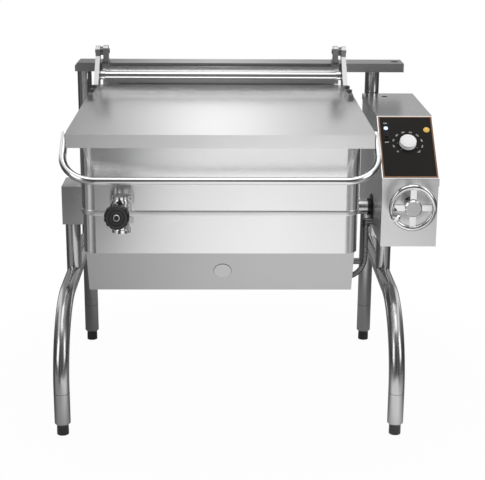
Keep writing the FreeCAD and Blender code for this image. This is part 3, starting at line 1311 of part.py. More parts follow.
def valve_body():
    """The valve's body: an inlet pipe from the pan, an upright barrel open below and a boss for the spindle."""
    flare = "barrel_radius + 3"
    solid = join("valve_solid",
                 [cylinder("valve_inlet", "valve_pipe", "pan_front - flange_length - barrel_front",
                           (VALVE_ACROSS, "barrel_front", "valve_height"), "Y"),
                  cylinder("valve_barrel", "barrel_radius", "barrel_top - barrel_bottom",
                           (BARREL_ACROSS, "barrel_front", "barrel_bottom")),
                  cylinder("valve_boss", "boss_radius", "barrel_front - boss_front",
                           (VALVE_ACROSS, "boss_front", "valve_height"), "Y"),
                  cylinder("valve_foot", flare, "barrel_collar", (BARREL_ACROSS, "barrel_front", "barrel_bottom")),
                  cylinder("valve_crown", flare, "barrel_collar",
                           (BARREL_ACROSS, "barrel_front", "barrel_top - 2 * barrel_collar"))])
    chamber = "valve_height + 1.5 * valve_bore - barrel_bottom"
    voids = join("valve_voids",
                 [cylinder("valve_way", "valve_bore", "pan_front - barrel_front + 1",
                           (VALVE_ACROSS, "barrel_front", "valve_height"), "Y"),
                  cylinder("valve_outlet", "barrel_bore", "outlet_depth + 1",
                           (BARREL_ACROSS, "barrel_front", "barrel_bottom - 1")),
                  cylinder("valve_chamber", "chamber_radius", chamber,
                           (BARREL_ACROSS, "barrel_front", "barrel_bottom")),
                  cylinder("valve_spindle_way", "spindle_radius + running_gap", "barrel_front - boss_front + 1",
                           (VALVE_ACROSS, "boss_front - 1", "valve_height"), "Y")])
    finish(cut("valve_body", solid, voids), "valve_body")


def valve_knob():
    """The ribbed knob, with a sleeve that turns in the valve's boss and drives the plug's stem."""
    body = new_body("valve_knob")
    rear = "(knob_front + knob_depth)"
    sleeve = "(barrel_front - 4)"
    hole = "(plug_stem + running_gap)"
    turned = outline(sketch(body, "YZ_Plane"),
                     ((rear, "0.6 * knob_radius"), (rear + " - 4", "knob_radius"),
                      ("knob_front + 7", "knob_radius"), ("knob_front + 2", "knob_radius - 4"),
                      ("knob_front + 2", "7"), ("knob_front", "7"), ("knob_front", "0"), ("knob_front + 4", "0"),
                      ("knob_front + 4", hole), (sleeve, hole), (sleeve, "spindle_radius"), (rear, "spindle_radius")))
    revolve(body, turned, "H_Axis")
    groove = circle(sketch(body, "XZ_Plane"), "knob_groove", "knob_radius + knob_groove / 3")
    scoop = pocket(body, groove)
    document.recompute()
    row = body.newObject("PartDesign::PolarPattern", "knob_grooves")
    row.Originals = [scoop]
    row.Axis = (groove, ["N_Axis"])
    row.Angle = 360
    bind(row, "Occurrences", "knob_ribs")
    body.Tip = row
    finish(body, "valve_knob", VALVE_ACROSS, "0", "valve_height")


def valve_plug():
    """The plug that closes the inlet, and its stem in the knob's sleeve."""
    body = new_body("valve_plug")
    seat = "pan_front - flange_length"
    turned = outline(sketch(body, "YZ_Plane"),
                     ((seat, "0"), (seat, "valve_bore - 3"), (seat + " - 4", "valve_bore - moving_gap"),
                      (seat + " - 14", "valve_bore - moving_gap"), (seat + " - 14", "plug_stem"),
                      ("knob_front + 4 + plug_travel + 2", "plug_stem"), ("knob_front + 4 + plug_travel + 2", "0")))
    revolve(body, turned, "H_Axis")
    finish(body, "valve_plug", VALVE_ACROSS, "0", "valve_height")


# Flexible conduit from the console to the heater box

def conduit_connectors():
    """The elbow on the console's side and the straight connector under the heater box."""
    across = "console_left - conduit_reach"
    mouth = "conduit_height - conduit_drop"
    elbow = join("elbow", [
        cylinder("elbow_arm", "fitting_radius - 1", "conduit_reach + 2 * console_sheet + 4",
                 (across, "conduit_back", "conduit_height"), "X"),
        cylinder("elbow_drop", "fitting_radius - 1", "conduit_drop", (across, "conduit_back", mouth)),
        cylinder("elbow_nut", "fitting_radius + 1", "8", (across, "conduit_back", mouth)),
        cylinder("elbow_locknut", "fitting_nut", "4",
                 ("console_left + 2 * console_sheet", "conduit_back", "conduit_height"), "X"),
        corner_ball("elbow_corner", "fitting_radius - 1", (across, "conduit_back", "conduit_height"))])
    finish(elbow, "conduit_elbow")
    low = "box_bottom - inlet_drop"
    straight = join("inlet", [
        cylinder("inlet_body", "fitting_radius", "inlet_drop + jacket_wall + 4", ("inlet_across", "inlet_back", low)),
        cylinder("inlet_nut", "fitting_nut", "inlet_drop - 2", ("inlet_across", "inlet_back", low + " + 2")),
        cylinder("inlet_locknut", "fitting_nut", "4",
                 ("inlet_across", "inlet_back", "box_bottom + jacket_wall"))])
    finish(straight, "conduit_connector")


def corner_ball(name, radius, place):
    made = document.addObject("Part::Sphere", name)
    bind(made, "Radius", radius)
    for letter, formula in zip("xyz", place):
        bind(made, "Placement.Base." + letter, formula)
    return made


def rounded_route(points):
    """Straight runs joined by tangent arcs, each as large as its two runs allow."""
    edges = []
    reached = points[0]
    for before, corner, after in zip(points, points[1:], points[2:]):
        run_in, run_out = corner.sub(before), after.sub(corner)
        turn = run_in.getAngle(run_out)
        back = 0.45 * min(run_in.Length, run_out.Length)
        radius = back / math.tan(turn / 2)
        start = corner - run_in * (back / run_in.Length)
        end = corner + run_out * (back / run_out.Length)
        inward = (start + end) / 2 - corner
        centre = corner + inward * (math.hypot(back, radius) / inward.Length)
        middle = centre + (corner - centre) * (radius / corner.sub(centre).Length)
        edges.append(Part.LineSegment(reached, start).toShape())
        edges.append(Part.Arc(start, middle, end).toShape())
        reached = end
    edges.append(Part.LineSegment(reached, points[-1]).toShape())
    return Part.Wire(edges)


# The loop's middle points: shares of the way across and of the way back from start to end, and the
# height over the lowest point as a share of the start's height over it and of the end's.
CONDUIT_LOOP = ((0.0, 0.0, 0.63, 0.0), (0.0, 0.12, 0.26, 0.0), (0.19, 0.29, 0.07, 0.0), (0.5, 0.55, 0.0, 0.0),
                (0.81, 0.83, 0.0, 0.17), (1.0, 1.0, 0.0, 0.56))


def conduit_hose():
    """The flexible conduit that loops from the console down to the heater box and lets the pan tilt."""
    start = FreeCAD.Vector(size("console_left") - size("conduit_reach"), size("conduit_back"),
                           size("conduit_height") - size("conduit_drop"))
    end = FreeCAD.Vector(size("inlet_across"), size("inlet_back"), size("box_bottom") - size("inlet_drop"))
    lowest = end.z - size("conduit_sag")
    middle = []
    for along, back, under_start, over_end in CONDUIT_LOOP:
        height = lowest + under_start * (start.z - lowest) + over_end * (end.z - lowest)
        middle.append(FreeCAD.Vector(start.x + along * (end.x - start.x), start.y + back * (end.y - start.y), height))
    route = rounded_route([start] + middle + [end])
    radius = size("hose_radius")
    disc = Part.Wire(Part.makeCircle(radius, start, middle[0].sub(start)))
    shape = route.makePipeShell([disc], True, False)
    print("conduit volume %.4f of its length times its section" % (shape.Volume / (math.pi * radius ** 2 * route.Length)))
    item = document.addObject("Part::Feature", "conduit_hose")
    item.Shape = shape
    finish(item, "conduit_hose")


# Build and write

for side, sign in SIDES:
    rear_leg(side, sign)
    front_leg(side, sign)
upright_post("left", "-1", "housing_base")
upright_post("right", "1", "console_floor")
rear_cross_tube()
rear_beam()
leg_inserts()
for name, across, back in leg_places():
    foot(name, across, back)

GEAR_SIDE = "frame_width / 2"
bearing_block("bearing_left", "-housing_left + (housing_width - block_width) / 2", "block_width", "housing_base",
              "-housing_left + housing_wall", "-housing_left + housing_width - housing_wall",
              "housing_depth - 2 * housing_wall")
bearing_housing()
right_block = "gear_across - " + GEAR_SIDE + " - 1 - block_width"
bearing_block("bearing_right", right_block, "block_width", "console_floor + console_sheet", right_block,
              "gear_across - " + GEAR_SIDE + " - 1", "block_foot")
outer_block = "gear_across + " + GEAR_SIDE + " + 4"
bearing_block("bearing_outer", outer_block, "block_width / 2", "console_floor + console_sheet", outer_block,
              outer_block + " + block_width / 2", "block_foot")

console_body()
console_cover()
console_bracket()
shaft_seal()
control_panel()
thermostat()
dial_knob()
switch_housing()
rocker_switch()
signal_lamp()
contactor()

worm_gear()
worm()
worm_frame()
handwheel_bush()
handwheel()
crank_knob()

pan_vessel()
pan_jacket()
heating_plate()
heating_elements()
heater_box()
box_plug()
trunnions()
hinge_channel()
for side, sign in SIDES:
    hinge_bracket(side, sign)
hinge_pins()

cover_shell()
for side, sign in SIDES:
    cover_arm(side, sign)
arm_bolts()
torque_tube()
cover_handle()

valve_flange()
valve_body()
valve_knob()
valve_plug()

conduit_connectors()
conduit_hose()

document.recompute()

faults = [item.Name + " " + str(item.State) for item in document.Objects
          if "Invalid" in item.State or "Error" in item.State]
faults += [item.Label for item in nodes if item.Shape.isNull() or not item.Shape.isValid()]
if faults:
    raise RuntimeError("failed objects: " + ", ".join(faults))

for item in nodes:
    item.Shape.exportStep("parts/%s.step" % item.Label)
box = Part.makeCompound([item.Shape for item in nodes]).BoundBox
print("%d sub-parts, box %.1f %.1f %.1f to %.1f %.1f %.1f"
      % (len(nodes), box.XMin, box.YMin, box.ZMin, box.XMax, box.YMax, box.ZMax))
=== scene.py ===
import math

import bmesh
import bpy
from mathutils import Matrix, Vector


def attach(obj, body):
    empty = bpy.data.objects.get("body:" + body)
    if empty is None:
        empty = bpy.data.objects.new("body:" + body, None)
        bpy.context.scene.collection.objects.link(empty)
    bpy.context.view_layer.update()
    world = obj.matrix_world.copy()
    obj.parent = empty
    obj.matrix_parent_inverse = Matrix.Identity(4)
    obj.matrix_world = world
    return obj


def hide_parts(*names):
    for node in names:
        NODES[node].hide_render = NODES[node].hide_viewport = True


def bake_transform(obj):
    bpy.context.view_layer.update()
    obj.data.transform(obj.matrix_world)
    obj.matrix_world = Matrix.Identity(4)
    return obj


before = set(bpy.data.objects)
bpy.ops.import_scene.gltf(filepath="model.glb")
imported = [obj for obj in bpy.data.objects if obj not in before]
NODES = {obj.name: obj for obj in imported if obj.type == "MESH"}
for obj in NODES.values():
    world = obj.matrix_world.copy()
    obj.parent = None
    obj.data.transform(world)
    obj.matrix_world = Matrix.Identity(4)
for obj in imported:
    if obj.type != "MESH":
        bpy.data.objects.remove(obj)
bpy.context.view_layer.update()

# the part's own frame: the source works in millimetres from the middle of the front legs
ACROSS = -54.0
BACK = -360.5


def at(x, y, z):
    return Vector(((x + ACROSS) / 1000, (y + BACK) / 1000, z / 1000))


def mm(value):
    return value / 1000


# camera, fitted to the photograph: place in metres, turned down, sideways and about its own axis
CAMERA_PLACE = (-0.080, -4.0185, 1.712)
CAMERA_DOWN = math.radians(16.303)
CAMERA_YAW = math.radians(1.014)
CAMERA_ROLL = math.radians(-0.345)
CAMERA_REACH = 60
FOCAL_PIXELS = 1250.0
PHOTO_WIDTH = 485
SENSOR = 36.0


def add_camera():
    data = bpy.data.cameras.new("photo_camera")
    data.sensor_width = SENSOR
    data.sensor_fit = "HORIZONTAL"
    data.lens = FOCAL_PIXELS * SENSOR / PHOTO_WIDTH
    data.clip_end = CAMERA_REACH
    camera = bpy.data.objects.new("photo_camera", data)
    bpy.context.scene.collection.objects.link(camera)
    turned = (
        Matrix.Rotation(-CAMERA_YAW, 4, "Z")
        @ Matrix.Rotation(math.pi / 2 - CAMERA_DOWN, 4, "X")
        @ Matrix.Rotation(-CAMERA_ROLL, 4, "Z")
    )
    camera.matrix_world = Matrix.Translation(CAMERA_PLACE) @ turned
    bpy.context.scene.camera = camera


add_camera()
bpy.context.scene.view_settings.view_transform = "Standard"

# node helpers
# nearly all values of a noise texture lie between these two
NOISE_LOW, NOISE_HIGH = 0.3, 0.7


def new_material(name):
    material = bpy.data.materials.new(name)
    material.use_nodes = True
    tree = material.node_tree
    tree.nodes.clear()
    out = tree.nodes.new("ShaderNodeOutputMaterial")
    shader = tree.nodes.new("ShaderNodeBsdfPrincipled")
    tree.links.new(shader.outputs[0], out.inputs[0])
    return material, tree, shader


def stretched_noise(tree, stretch, scale, detail=3.0):
    place = tree.nodes.new("ShaderNodeTexCoord")
    mapping = tree.nodes.new("ShaderNodeMapping")
    mapping.inputs["Scale"].default_value = stretch
    noise = tree.nodes.new("ShaderNodeTexNoise")
    noise.inputs["Scale"].default_value = scale
    noise.inputs["Detail"].default_value = detail
    tree.links.new(place.outputs["Object"], mapping.inputs["Vector"])
    tree.links.new(mapping.outputs["Vector"], noise.inputs["Vector"])
    return noise


def scaled(tree, source, share):
    product = tree.nodes.new("ShaderNodeMath")
    product.operation = "MULTIPLY"
    product.inputs[1].default_value = share
    tree.links.new(source, product.inputs[0])
    return product.outputs[0]


def roughened(tree, shader, source, roughness, spread):
    """Roughness that varies with the source, between two shares of its middle value."""
    reach = tree.nodes.new("ShaderNodeMapRange")
    reach.inputs["From Min"].default_value = NOISE_LOW
    reach.inputs["From Max"].default_value = NOISE_HIGH
    reach.inputs["To Min"].default_value = roughness * spread[0]
    reach.inputs["To Max"].default_value = roughness * spread[1]
    tree.links.new(source.outputs[0], reach.inputs["Value"])
    tree.links.new(reach.outputs[0], shader.inputs["Roughness"])


def tinted(tree, shader, source, dark, light):
    ramp = tree.nodes.new("ShaderNodeValToRGB")
    marks = ramp.color_ramp.elements
    for mark, place, tone in zip(marks, (NOISE_LOW, NOISE_HIGH), (dark, light)):
        mark.position = place
        mark.color = (*tone, 1)
    tree.links.new(source.outputs[0], ramp.inputs["Fac"])
    tree.links.new(ramp.outputs[0], shader.inputs["Base Color"])


def bumped(tree, shader, source, strength, distance):
    bump = tree.nodes.new("ShaderNodeBump")
    bump.inputs["Strength"].default_value = strength
    bump.inputs["Distance"].default_value = distance
    tree.links.new(source.outputs[0], bump.inputs["Height"])
    tree.links.new(bump.outputs["Normal"], shader.inputs["Normal"])


# brushed sheet and tube: fine grooves along one axis, with faint cloudy patches; smear stretches what it
# mirrors along the grooves, or along another axis where one is named
AXES = "XYZ"
QUARTER_TURN = 0.25
GROOVE_STRETCH = 60.0
GROOVE_SCALE, GROOVE_DETAIL = 22.0, 4.0
PATCH_SCALE, PATCH_DETAIL = 4.0, 2.0
GROOVE_SHARE = 0.6
GROOVE_SPREAD = (0.85, 1.2)


def brushed(name, tone, roughness, along, depth, clouds=0.03, smear=0.0, smear_axis=None):
    material, tree, shader = new_material(name)
    shader.inputs["Metallic"].default_value = 1.0
    if smear:
        tangent = tree.nodes.new("ShaderNodeTangent")
        tangent.direction_type = "RADIAL"
        tangent.axis = smear_axis or AXES[along]
        shader.inputs["Anisotropic"].default_value = smear
        shader.inputs["Anisotropic Rotation"].default_value = QUARTER_TURN
        tree.links.new(tangent.outputs[0], shader.inputs["Tangent"])
    stretch = [1.0 if axis == along else GROOVE_STRETCH for axis in range(3)]
    grooves = stretched_noise(tree, stretch, GROOVE_SCALE, GROOVE_DETAIL)
    patches = stretched_noise(tree, (1, 1, 1), PATCH_SCALE, PATCH_DETAIL)
    mix = tree.nodes.new("ShaderNodeMath")
    mix.operation = "MULTIPLY_ADD"
    mix.inputs[1].default_value = GROOVE_SHARE
    tree.links.new(grooves.outputs[0], mix.inputs[0])
    tree.links.new(scaled(tree, patches.outputs[0], 1 - GROOVE_SHARE), mix.inputs[2])
    dark = [c * (1 - clouds) for c in tone]
    light = [min(c * (1 + clouds), 1) for c in tone]
    tinted(tree, shader, mix, dark, light)
    roughened(tree, shader, mix, roughness, GROOVE_SPREAD)
    bumped(tree, shader, grooves, 1.0, depth)
    return material


PLASTIC_SPREAD = (0.85, 1.15)
PLASTIC_BUMP = 0.6
COAT_ROUGHNESS = 0.08


def plastic(name, dark, light, roughness, grain, depth, coat=0.0, shine=0.5):
    material, tree, shader = new_material(name)
    shader.inputs["Specular IOR Level"].default_value = shine
    shader.inputs["Coat Weight"].default_value = coat
    shader.inputs["Coat Roughness"].default_value = COAT_ROUGHNESS
    noise = stretched_noise(tree, (1, 1, 1), grain)
    tinted(tree, shader, noise, dark, light)
    roughened(tree, shader, noise, roughness, PLASTIC_SPREAD)
    bumped(tree, shader, noise, PLASTIC_BUMP, depth)
    return material


CAST_GRAIN, CAST_DETAIL = 260.0, 5.0
CAST_SPREAD = (0.8, 1.2)
CAST_BUMP, CAST_DEPTH = 0.5, 0.0003


def cast(name, dark, light, roughness):
    material, tree, shader = new_material(name)
    shader.inputs["Metallic"].default_value = 1.0
    noise = stretched_noise(tree, (1, 1, 1), CAST_GRAIN, CAST_DETAIL)
    tinted(tree, shader, noise, dark, light)
    roughened(tree, shader, noise, roughness, CAST_SPREAD)
    bumped(tree, shader, noise, CAST_BUMP, CAST_DEPTH)
    return material


LENS_GRAIN = 300.0
LENS_DARKER = 0.85
LENS_ROUGHNESS, LENS_SPREAD = 0.16, (0.75, 1.25)


def lit(name, colour, glow, strength):
    material, tree, shader = new_material(name)
    noise = stretched_noise(tree, (1, 1, 1), LENS_GRAIN)
    tinted(tree, shader, noise, [c * LENS_DARKER for c in colour], colour)
    roughened(tree, shader, noise, LENS_ROUGHNESS, LENS_SPREAD)
    shader.inputs["Emission Color"].default_value = (*glow, 1)
    shader.inputs["Emission Strength"].default_value = strength
    return material


COVER_STEEL = brushed("cover_steel", (0.96, 0.96, 0.965), 0.22, 0, 0.000008, 0.02, 0.8)
WALL_STEEL = brushed("wall_steel", (0.96, 0.96, 0.965), 0.18, 0, 0.000001, 0.02, 0.97, "Z")
SEAM_STEEL = brushed("seam_steel", (0.90, 0.90, 0.905), 0.34, 0, 0.000004, 0.02)
# painted shade: the heater box's steel is darker than the pan's steel, because its face leans down towards
# the shaded floor under the pan
SHADED_BOX_STEEL = brushed("box_steel_painted_shade", (0.60, 0.60, 0.605), 0.42, 0, 0.00003, 0.03, 0.5)
PLUG_STEEL = brushed("plug_steel", (0.60, 0.60, 0.605), 0.30, 0, 0.00003)
CONSOLE_STEEL = brushed("console_steel", (0.96, 0.96, 0.965), 0.34, 0, 0.00002, 0.02)
TOP_STEEL = brushed("console_top_steel", (0.74, 0.74, 0.745), 0.24, 1, 0.00002)
BEAM_STEEL = brushed("beam_steel", (0.42, 0.42, 0.425), 0.30, 0, 0.00003)
TUBE_STEEL = brushed("tube_steel", (0.62, 0.62, 0.625), 0.20, 2, 0.00001)
RAIL_STEEL = brushed("rail_steel", (0.86, 0.86, 0.865), 0.14, 0, 0.00001)
ARM_STEEL = brushed("arm_steel", (0.50, 0.50, 0.505), 0.28, 1, 0.00002)
CHROME = brushed("chrome", (0.88, 0.88, 0.89), 0.06, 0, 0.000004, 0.02)
DULL_CHROME = brushed("dull_chrome", (0.72, 0.72, 0.73), 0.30, 0, 0.00001, 0.04)
DARK_STEEL = cast("dark_steel", (0.16, 0.16, 0.165), (0.28, 0.28, 0.285), 0.36)
CAST_IRON = cast("cast_bearing", (0.16, 0.16, 0.165), (0.26, 0.26, 0.265), 0.55)
GEAR_BRONZE = cast("gear_bronze", (0.48, 0.33, 0.14), (0.62, 0.44, 0.20), 0.35)
BLACK_PLASTIC = plastic("black_plastic", (0.008, 0.008, 0.008), (0.016, 0.016, 0.016), 0.34, 500, 0.0001)
FOOT_BLACK = plastic("foot_black", (0.012, 0.012, 0.013), (0.03, 0.03, 0.032), 0.22, 300, 0.00005, 0.6)
PANEL_BLACK = plastic(
    "panel_black", (0.010, 0.009, 0.008), (0.015, 0.014, 0.012), 0.42, 900, 0.00003, shine=0.12,
)
SWITCH_BLACK = plastic(
    "switch_black", (0.006, 0.006, 0.008), (0.010, 0.010, 0.012), 0.35, 500, 0.00003, shine=0.2,
)
# painted sheen: the rings of the black valve knob get a lighter grey than its plastic, in place of the
# highlights on its glossy rings
KNOB_RING_SHEEN = plastic("knob_ring_painted_sheen", (0.022, 0.022, 0.023), (0.040, 0.040, 0.042), 0.20, 500, 0.00003, 0.5)
BRONZE = plastic("bronze_border", (0.24, 0.105, 0.045), (0.32, 0.15, 0.065), 0.35, 700, 0.00003)
WHITE_PLASTIC = plastic("white_plastic", (0.95, 0.95, 0.95), (1.0, 1.0, 1.0), 0.45, 400, 0.00003, 0.1)
PRINT_WHITE = plastic("print_white", (0.78, 0.78, 0.77), (0.88, 0.88, 0.87), 0.5, 400, 0.00001)
HOSE_GREY = cast("hose_grey", (0.20, 0.20, 0.205), (0.42, 0.42, 0.43), 0.26)
WELD_STEEL = cast("weld_steel", (0.34, 0.34, 0.345), (0.52, 0.52, 0.525), 0.34)
AMBER = lit("amber_lens", (0.60, 0.38, 0.08), (1.0, 0.62, 0.12), 0.35)
BLUE = lit("blue_lens", (0.62, 0.70, 1.0), (0.55, 0.66, 1.0), 0.9)

DRESS = {
    COVER_STEEL: ["cover_shell"],
    WALL_STEEL: ["pan_vessel", "pan_jacket", "hinge_channel", "bearing_housing_left"],
    SHADED_BOX_STEEL: ["heater_box"],
    PLUG_STEEL: ["box_plug"],
    CONSOLE_STEEL: ["console_body"],
    TOP_STEEL: ["console_cover"],
    BEAM_STEEL: ["rear_beam", "rear_cross_tube"],
    TUBE_STEEL: [
        "rear_leg_left", "rear_leg_right", "front_leg_left", "front_leg_right", "upright_left",
        "upright_right", "leg_inserts", "console_bracket", "trunnion_left", "trunnion_right",
    ],
    RAIL_STEEL: ["cover_handle", "torque_tube"],
    ARM_STEEL: ["cover_arm_left", "cover_arm_right", "hinge_bracket_left", "hinge_bracket_right"],
    CHROME: ["handwheel", "crank_knob", "valve_body", "valve_flange", "valve_plug", "handwheel_bush"],
    DARK_STEEL: [
        "arm_bolts", "hinge_pins", "heating_plate", "heating_elements", "thermostat",
        "conduit_connector", "conduit_elbow", "worm",
    ],
    CAST_IRON: ["bearing_left", "bearing_right", "bearing_outer", "worm_frame"],
    GEAR_BRONZE: ["worm_gear"],
    BLACK_PLASTIC: ["valve_knob", "contactor", "shaft_seal"],
    FOOT_BLACK: ["foot_front_left", "foot_front_right", "foot_rear_left", "foot_rear_right"],
    SWITCH_BLACK: ["switch_housing", "rocker_switch"],
    PANEL_BLACK: ["panel_plate"],
    BRONZE: ["panel_border"],
    WHITE_PLASTIC: ["dial_knob"],
    AMBER: ["signal_lamp"],
    HOSE_GREY: ["conduit_hose"],
}


def dress():
    for material, names in DRESS.items():
        for name in names:
            mesh = NODES[name].data
            mesh.materials.clear()
            mesh.materials.append(material)


dress()

# pieces: small parts, prints and finishes added to the frame
SHARP_ANGLE = math.radians(35)
SAME_POINT = 0.000001
# a turned piece with no more sides than this keeps them flat
FLAT_SIDES = 8
# a direction that rises more than this counts as upright
UPRIGHT = 0.9
# how deep an applied piece sits in what carries it
SUNK = 0.5


def make_piece(name, mesh, material, body):
    mesh.materials.append(material)
    piece = bpy.data.objects.new(name, mesh)
    bpy.context.scene.collection.objects.link(piece)
    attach(piece, body)


def mesh_of(name, points, faces, smooth=True):
    mesh = bpy.data.meshes.new(name)
    mesh.from_pydata([tuple(point) for point in points], [], faces)
    shell = bmesh.new()
    shell.from_mesh(mesh)
    bmesh.ops.recalc_face_normals(shell, faces=shell.faces)
    shell.to_mesh(mesh)
    shell.free()
    for face in mesh.polygons:
        face.use_smooth = smooth
    if smooth:
        mesh.set_sharp_from_angle(angle=SHARP_ANGLE)
    return mesh


def frame_round(direction):
    forward = Vector(direction).normalized()
    helper = Vector((0, 0, 1)) if abs(forward.z) < UPRIGHT else Vector((0, 1, 0))
    across = helper.cross(forward).normalized()
    return forward, across, forward.cross(across)


def joined_rings(total, count, closed):
    """Faces between rings of points: total rings of count points each."""
    faces = []
    for k in range(total if closed else total - 1):
        here, there = k * count, (k + 1) % total * count
        for j in range(count):
            after = (j + 1) % count
            faces.append((here + j, here + after, there + after, there + j))
    return faces


def lathe(name, centre, direction, profile, material, body, sides=48):
    """A turned piece: its closed profile holds (way along the axis, radius) pairs in millimetres."""
    forward, across, other = frame_round(direction)
    points = []
    for step in range(sides):
        angle = 2 * math.pi * step / sides
        out = across * math.cos(angle) + other * math.sin(angle)
        points += [centre + forward * mm(along) + out * mm(radius) for along, radius in profile]
    mesh = mesh_of(name, points, joined_rings(sides, len(profile), True), sides > FLAT_SIDES)
    shell = bmesh.new()
    shell.from_mesh(mesh)
    bmesh.ops.remove_doubles(shell, verts=shell.verts, dist=SAME_POINT)
    bmesh.ops.dissolve_degenerate(shell, edges=shell.edges, dist=SAME_POINT)
    bmesh.ops.recalc_face_normals(shell, faces=shell.faces)
    shell.to_mesh(mesh)
    shell.free()
    make_piece(name, mesh, material, body)


def ring(name, centre, direction, inner, outer, low, high, material, body, chamfer=0.4):
    """A flat-sided ring with its outer edges broken."""
    profile = [
        (low, inner), (low, outer - chamfer), (low + chamfer, outer),
        (high - chamfer, outer), (high, outer - chamfer), (high, inner),
    ]
    lathe(name, centre, direction, profile, material, body)


def disc(name, centre, direction, radius, low, high, material, body, chamfer=0.4, sides=48):
    profile = [
        (low, 0.0), (low, radius - chamfer), (low + chamfer, radius),
        (high - chamfer, radius), (high, radius - chamfer), (high, 0.0),
    ]
    lathe(name, centre, direction, profile, material, body, sides)


TORUS_STEPS = 10


def torus(name, centre, direction, radius, thickness, material, body):
    profile = []
    for step in range(TORUS_STEPS):
        angle = 2 * math.pi * step / TORUS_STEPS
        profile.append((thickness * math.sin(angle), radius + thickness * math.cos(angle)))
    lathe(name, centre, direction, profile, material, body)


# the seam round the pan at the height of its floor: a soft bead on the pan's outline
PAN_LEFT, PAN_RIGHT = -441, 385
PAN_FRONT, PAN_REAR = -88, 760
PAN_CORNER = 42
CORNER_STEPS = 10
SEAM_HEIGHT = 750
SEAM_OUT = 1.1
SEAM_IN = 2.0
SEAM_HALF = 8.0
SEAM_STEPS = 8


def pan_outline(height):
    corners = [
        (PAN_RIGHT - PAN_CORNER, PAN_FRONT + PAN_CORNER, -90),
        (PAN_RIGHT - PAN_CORNER, PAN_REAR - PAN_CORNER, 0),
        (PAN_LEFT + PAN_CORNER, PAN_REAR - PAN_CORNER, 90),
        (PAN_LEFT + PAN_CORNER, PAN_FRONT + PAN_CORNER, 180),
    ]
    route = []
    for x, y, first in corners:
        for step in range(CORNER_STEPS + 1):
            angle = math.radians(first + 90 * step / CORNER_STEPS)
            route.append(at(x + PAN_CORNER * math.cos(angle), y + PAN_CORNER * math.sin(angle), height))
    return route


def seam_bead():
    section = []
    for step in range(SEAM_STEPS + 1):
        angle = math.pi * (step / SEAM_STEPS - 0.5)
        section.append((SEAM_OUT * math.cos(angle), SEAM_HALF * math.sin(angle)))
    section += [(-SEAM_IN, SEAM_HALF), (-SEAM_IN, -SEAM_HALF)]
    route = pan_outline(SEAM_HEIGHT)
    points = []
    for k, place in enumerate(route):
        way = (route[(k + 1) % len(route)] - route[k - 1]).normalized()
        out = Vector((way.y, -way.x, 0)).normalized()
        points += [place + out * mm(a) + Vector((0, 0, mm(b))) for a, b in section]
    mesh = mesh_of("seam_bead", points, joined_rings(len(route), len(section), True))
    make_piece("seam_bead", mesh, SEAM_STEEL, "pan")


# draw-off valve: rings on the knob's face, by inner and outer radius, height, material and chamfer
VALVE_ACROSS = -326
VALVE_HEIGHT = 766
KNOB_FACE = -203
TOWARDS_FRONT = (0, -1, 0)
# the two outer rings carry the painted sheen of the knob's glossy rings
KNOB_RINGS = (
    ("knob_ring_outer", 25.0, 30.0, 1.6, KNOB_RING_SHEEN, 0.4),
    ("knob_ring_inner", 15.5, 19.5, 1.4, KNOB_RING_SHEEN, 0.4),
    ("knob_collar", 6.9, 10.0, 1.7, CHROME, 0.8),
)


def valve_details():
    face = at(VALVE_ACROSS, KNOB_FACE, VALVE_HEIGHT)
    for name, inner, outer, height, material, chamfer in KNOB_RINGS:
        ring(name, face, TOWARDS_FRONT, inner, outer, -SUNK, height, material, "valve_knob", chamfer)


# handwheel: the bright face of its hub, with a fine round mark
WHEEL_ACROSS, WHEEL_HEIGHT = 573, 715
HUB_FACE = 96
HUB_RADIUS = 22.6
HUB_RISE = 0.5
HUB_CHAMFER = 0.3
HUB_MARK_RADIUS, HUB_MARK_WIDTH = 12.0, 0.5


def wheel_details():
    face = at(WHEEL_ACROSS, HUB_FACE, WHEEL_HEIGHT)
    disc(
        "wheel_hub_face", face, TOWARDS_FRONT, HUB_RADIUS, -SUNK, HUB_RISE, DULL_CHROME, "handwheel",
        HUB_CHAMFER,
    )
    mark = face + Vector((0, -mm(HUB_RISE), 0))
    torus("wheel_hub_mark", mark, TOWARDS_FRONT, HUB_MARK_RADIUS, HUB_MARK_WIDTH, DULL_CHROME, "handwheel")


seam_bead()
valve_details()
wheel_details()

# the joint lines of the leg inserts, and a dark ring round the heater box's plug that paints its shadow
LEGS = [(-529, 0), (529, 0), (-520, 850), (520, 850)]
LEG_RADIUS = 25.4
INSERT_JOINT = 140
UPWARDS = (0, 0, 1)
JOINT_IN, JOINT_OUT, JOINT_HALF, JOINT_CHAMFER = 1, 0.25, 0.8, 0.1


def leg_joints():
    for number, (x, y) in enumerate(LEGS):
        ring(
            "leg_joint_%d" % number, at(x, y, INSERT_JOINT), UPWARDS, LEG_RADIUS - JOINT_IN,
            LEG_RADIUS + JOINT_OUT, -JOINT_HALF, JOINT_HALF, DARK_STEEL, "stand", JOINT_CHAMFER,
        )


PLUG_ACROSS, PLUG_FRONT, PLUG_HEIGHT = -22, -47.8, 559
PLUG_SHADOW_RADIUS, PLUG_SHADOW_WIDTH = 26.6, 0.7
BOX_LEAN = math.atan(56 / 136)
BOX_WAY_OUT = Vector((0, -math.cos(BOX_LEAN), -math.sin(BOX_LEAN)))


def plug_details():
    centre = at(PLUG_ACROSS, PLUG_FRONT, PLUG_HEIGHT)
    # painted shadow: a dark ring where the plug meets the box
    torus("plug_shadow", centre, BOX_WAY_OUT, PLUG_SHADOW_RADIUS, PLUG_SHADOW_WIDTH, DARK_STEEL, "pan")


leg_joints()
plug_details()

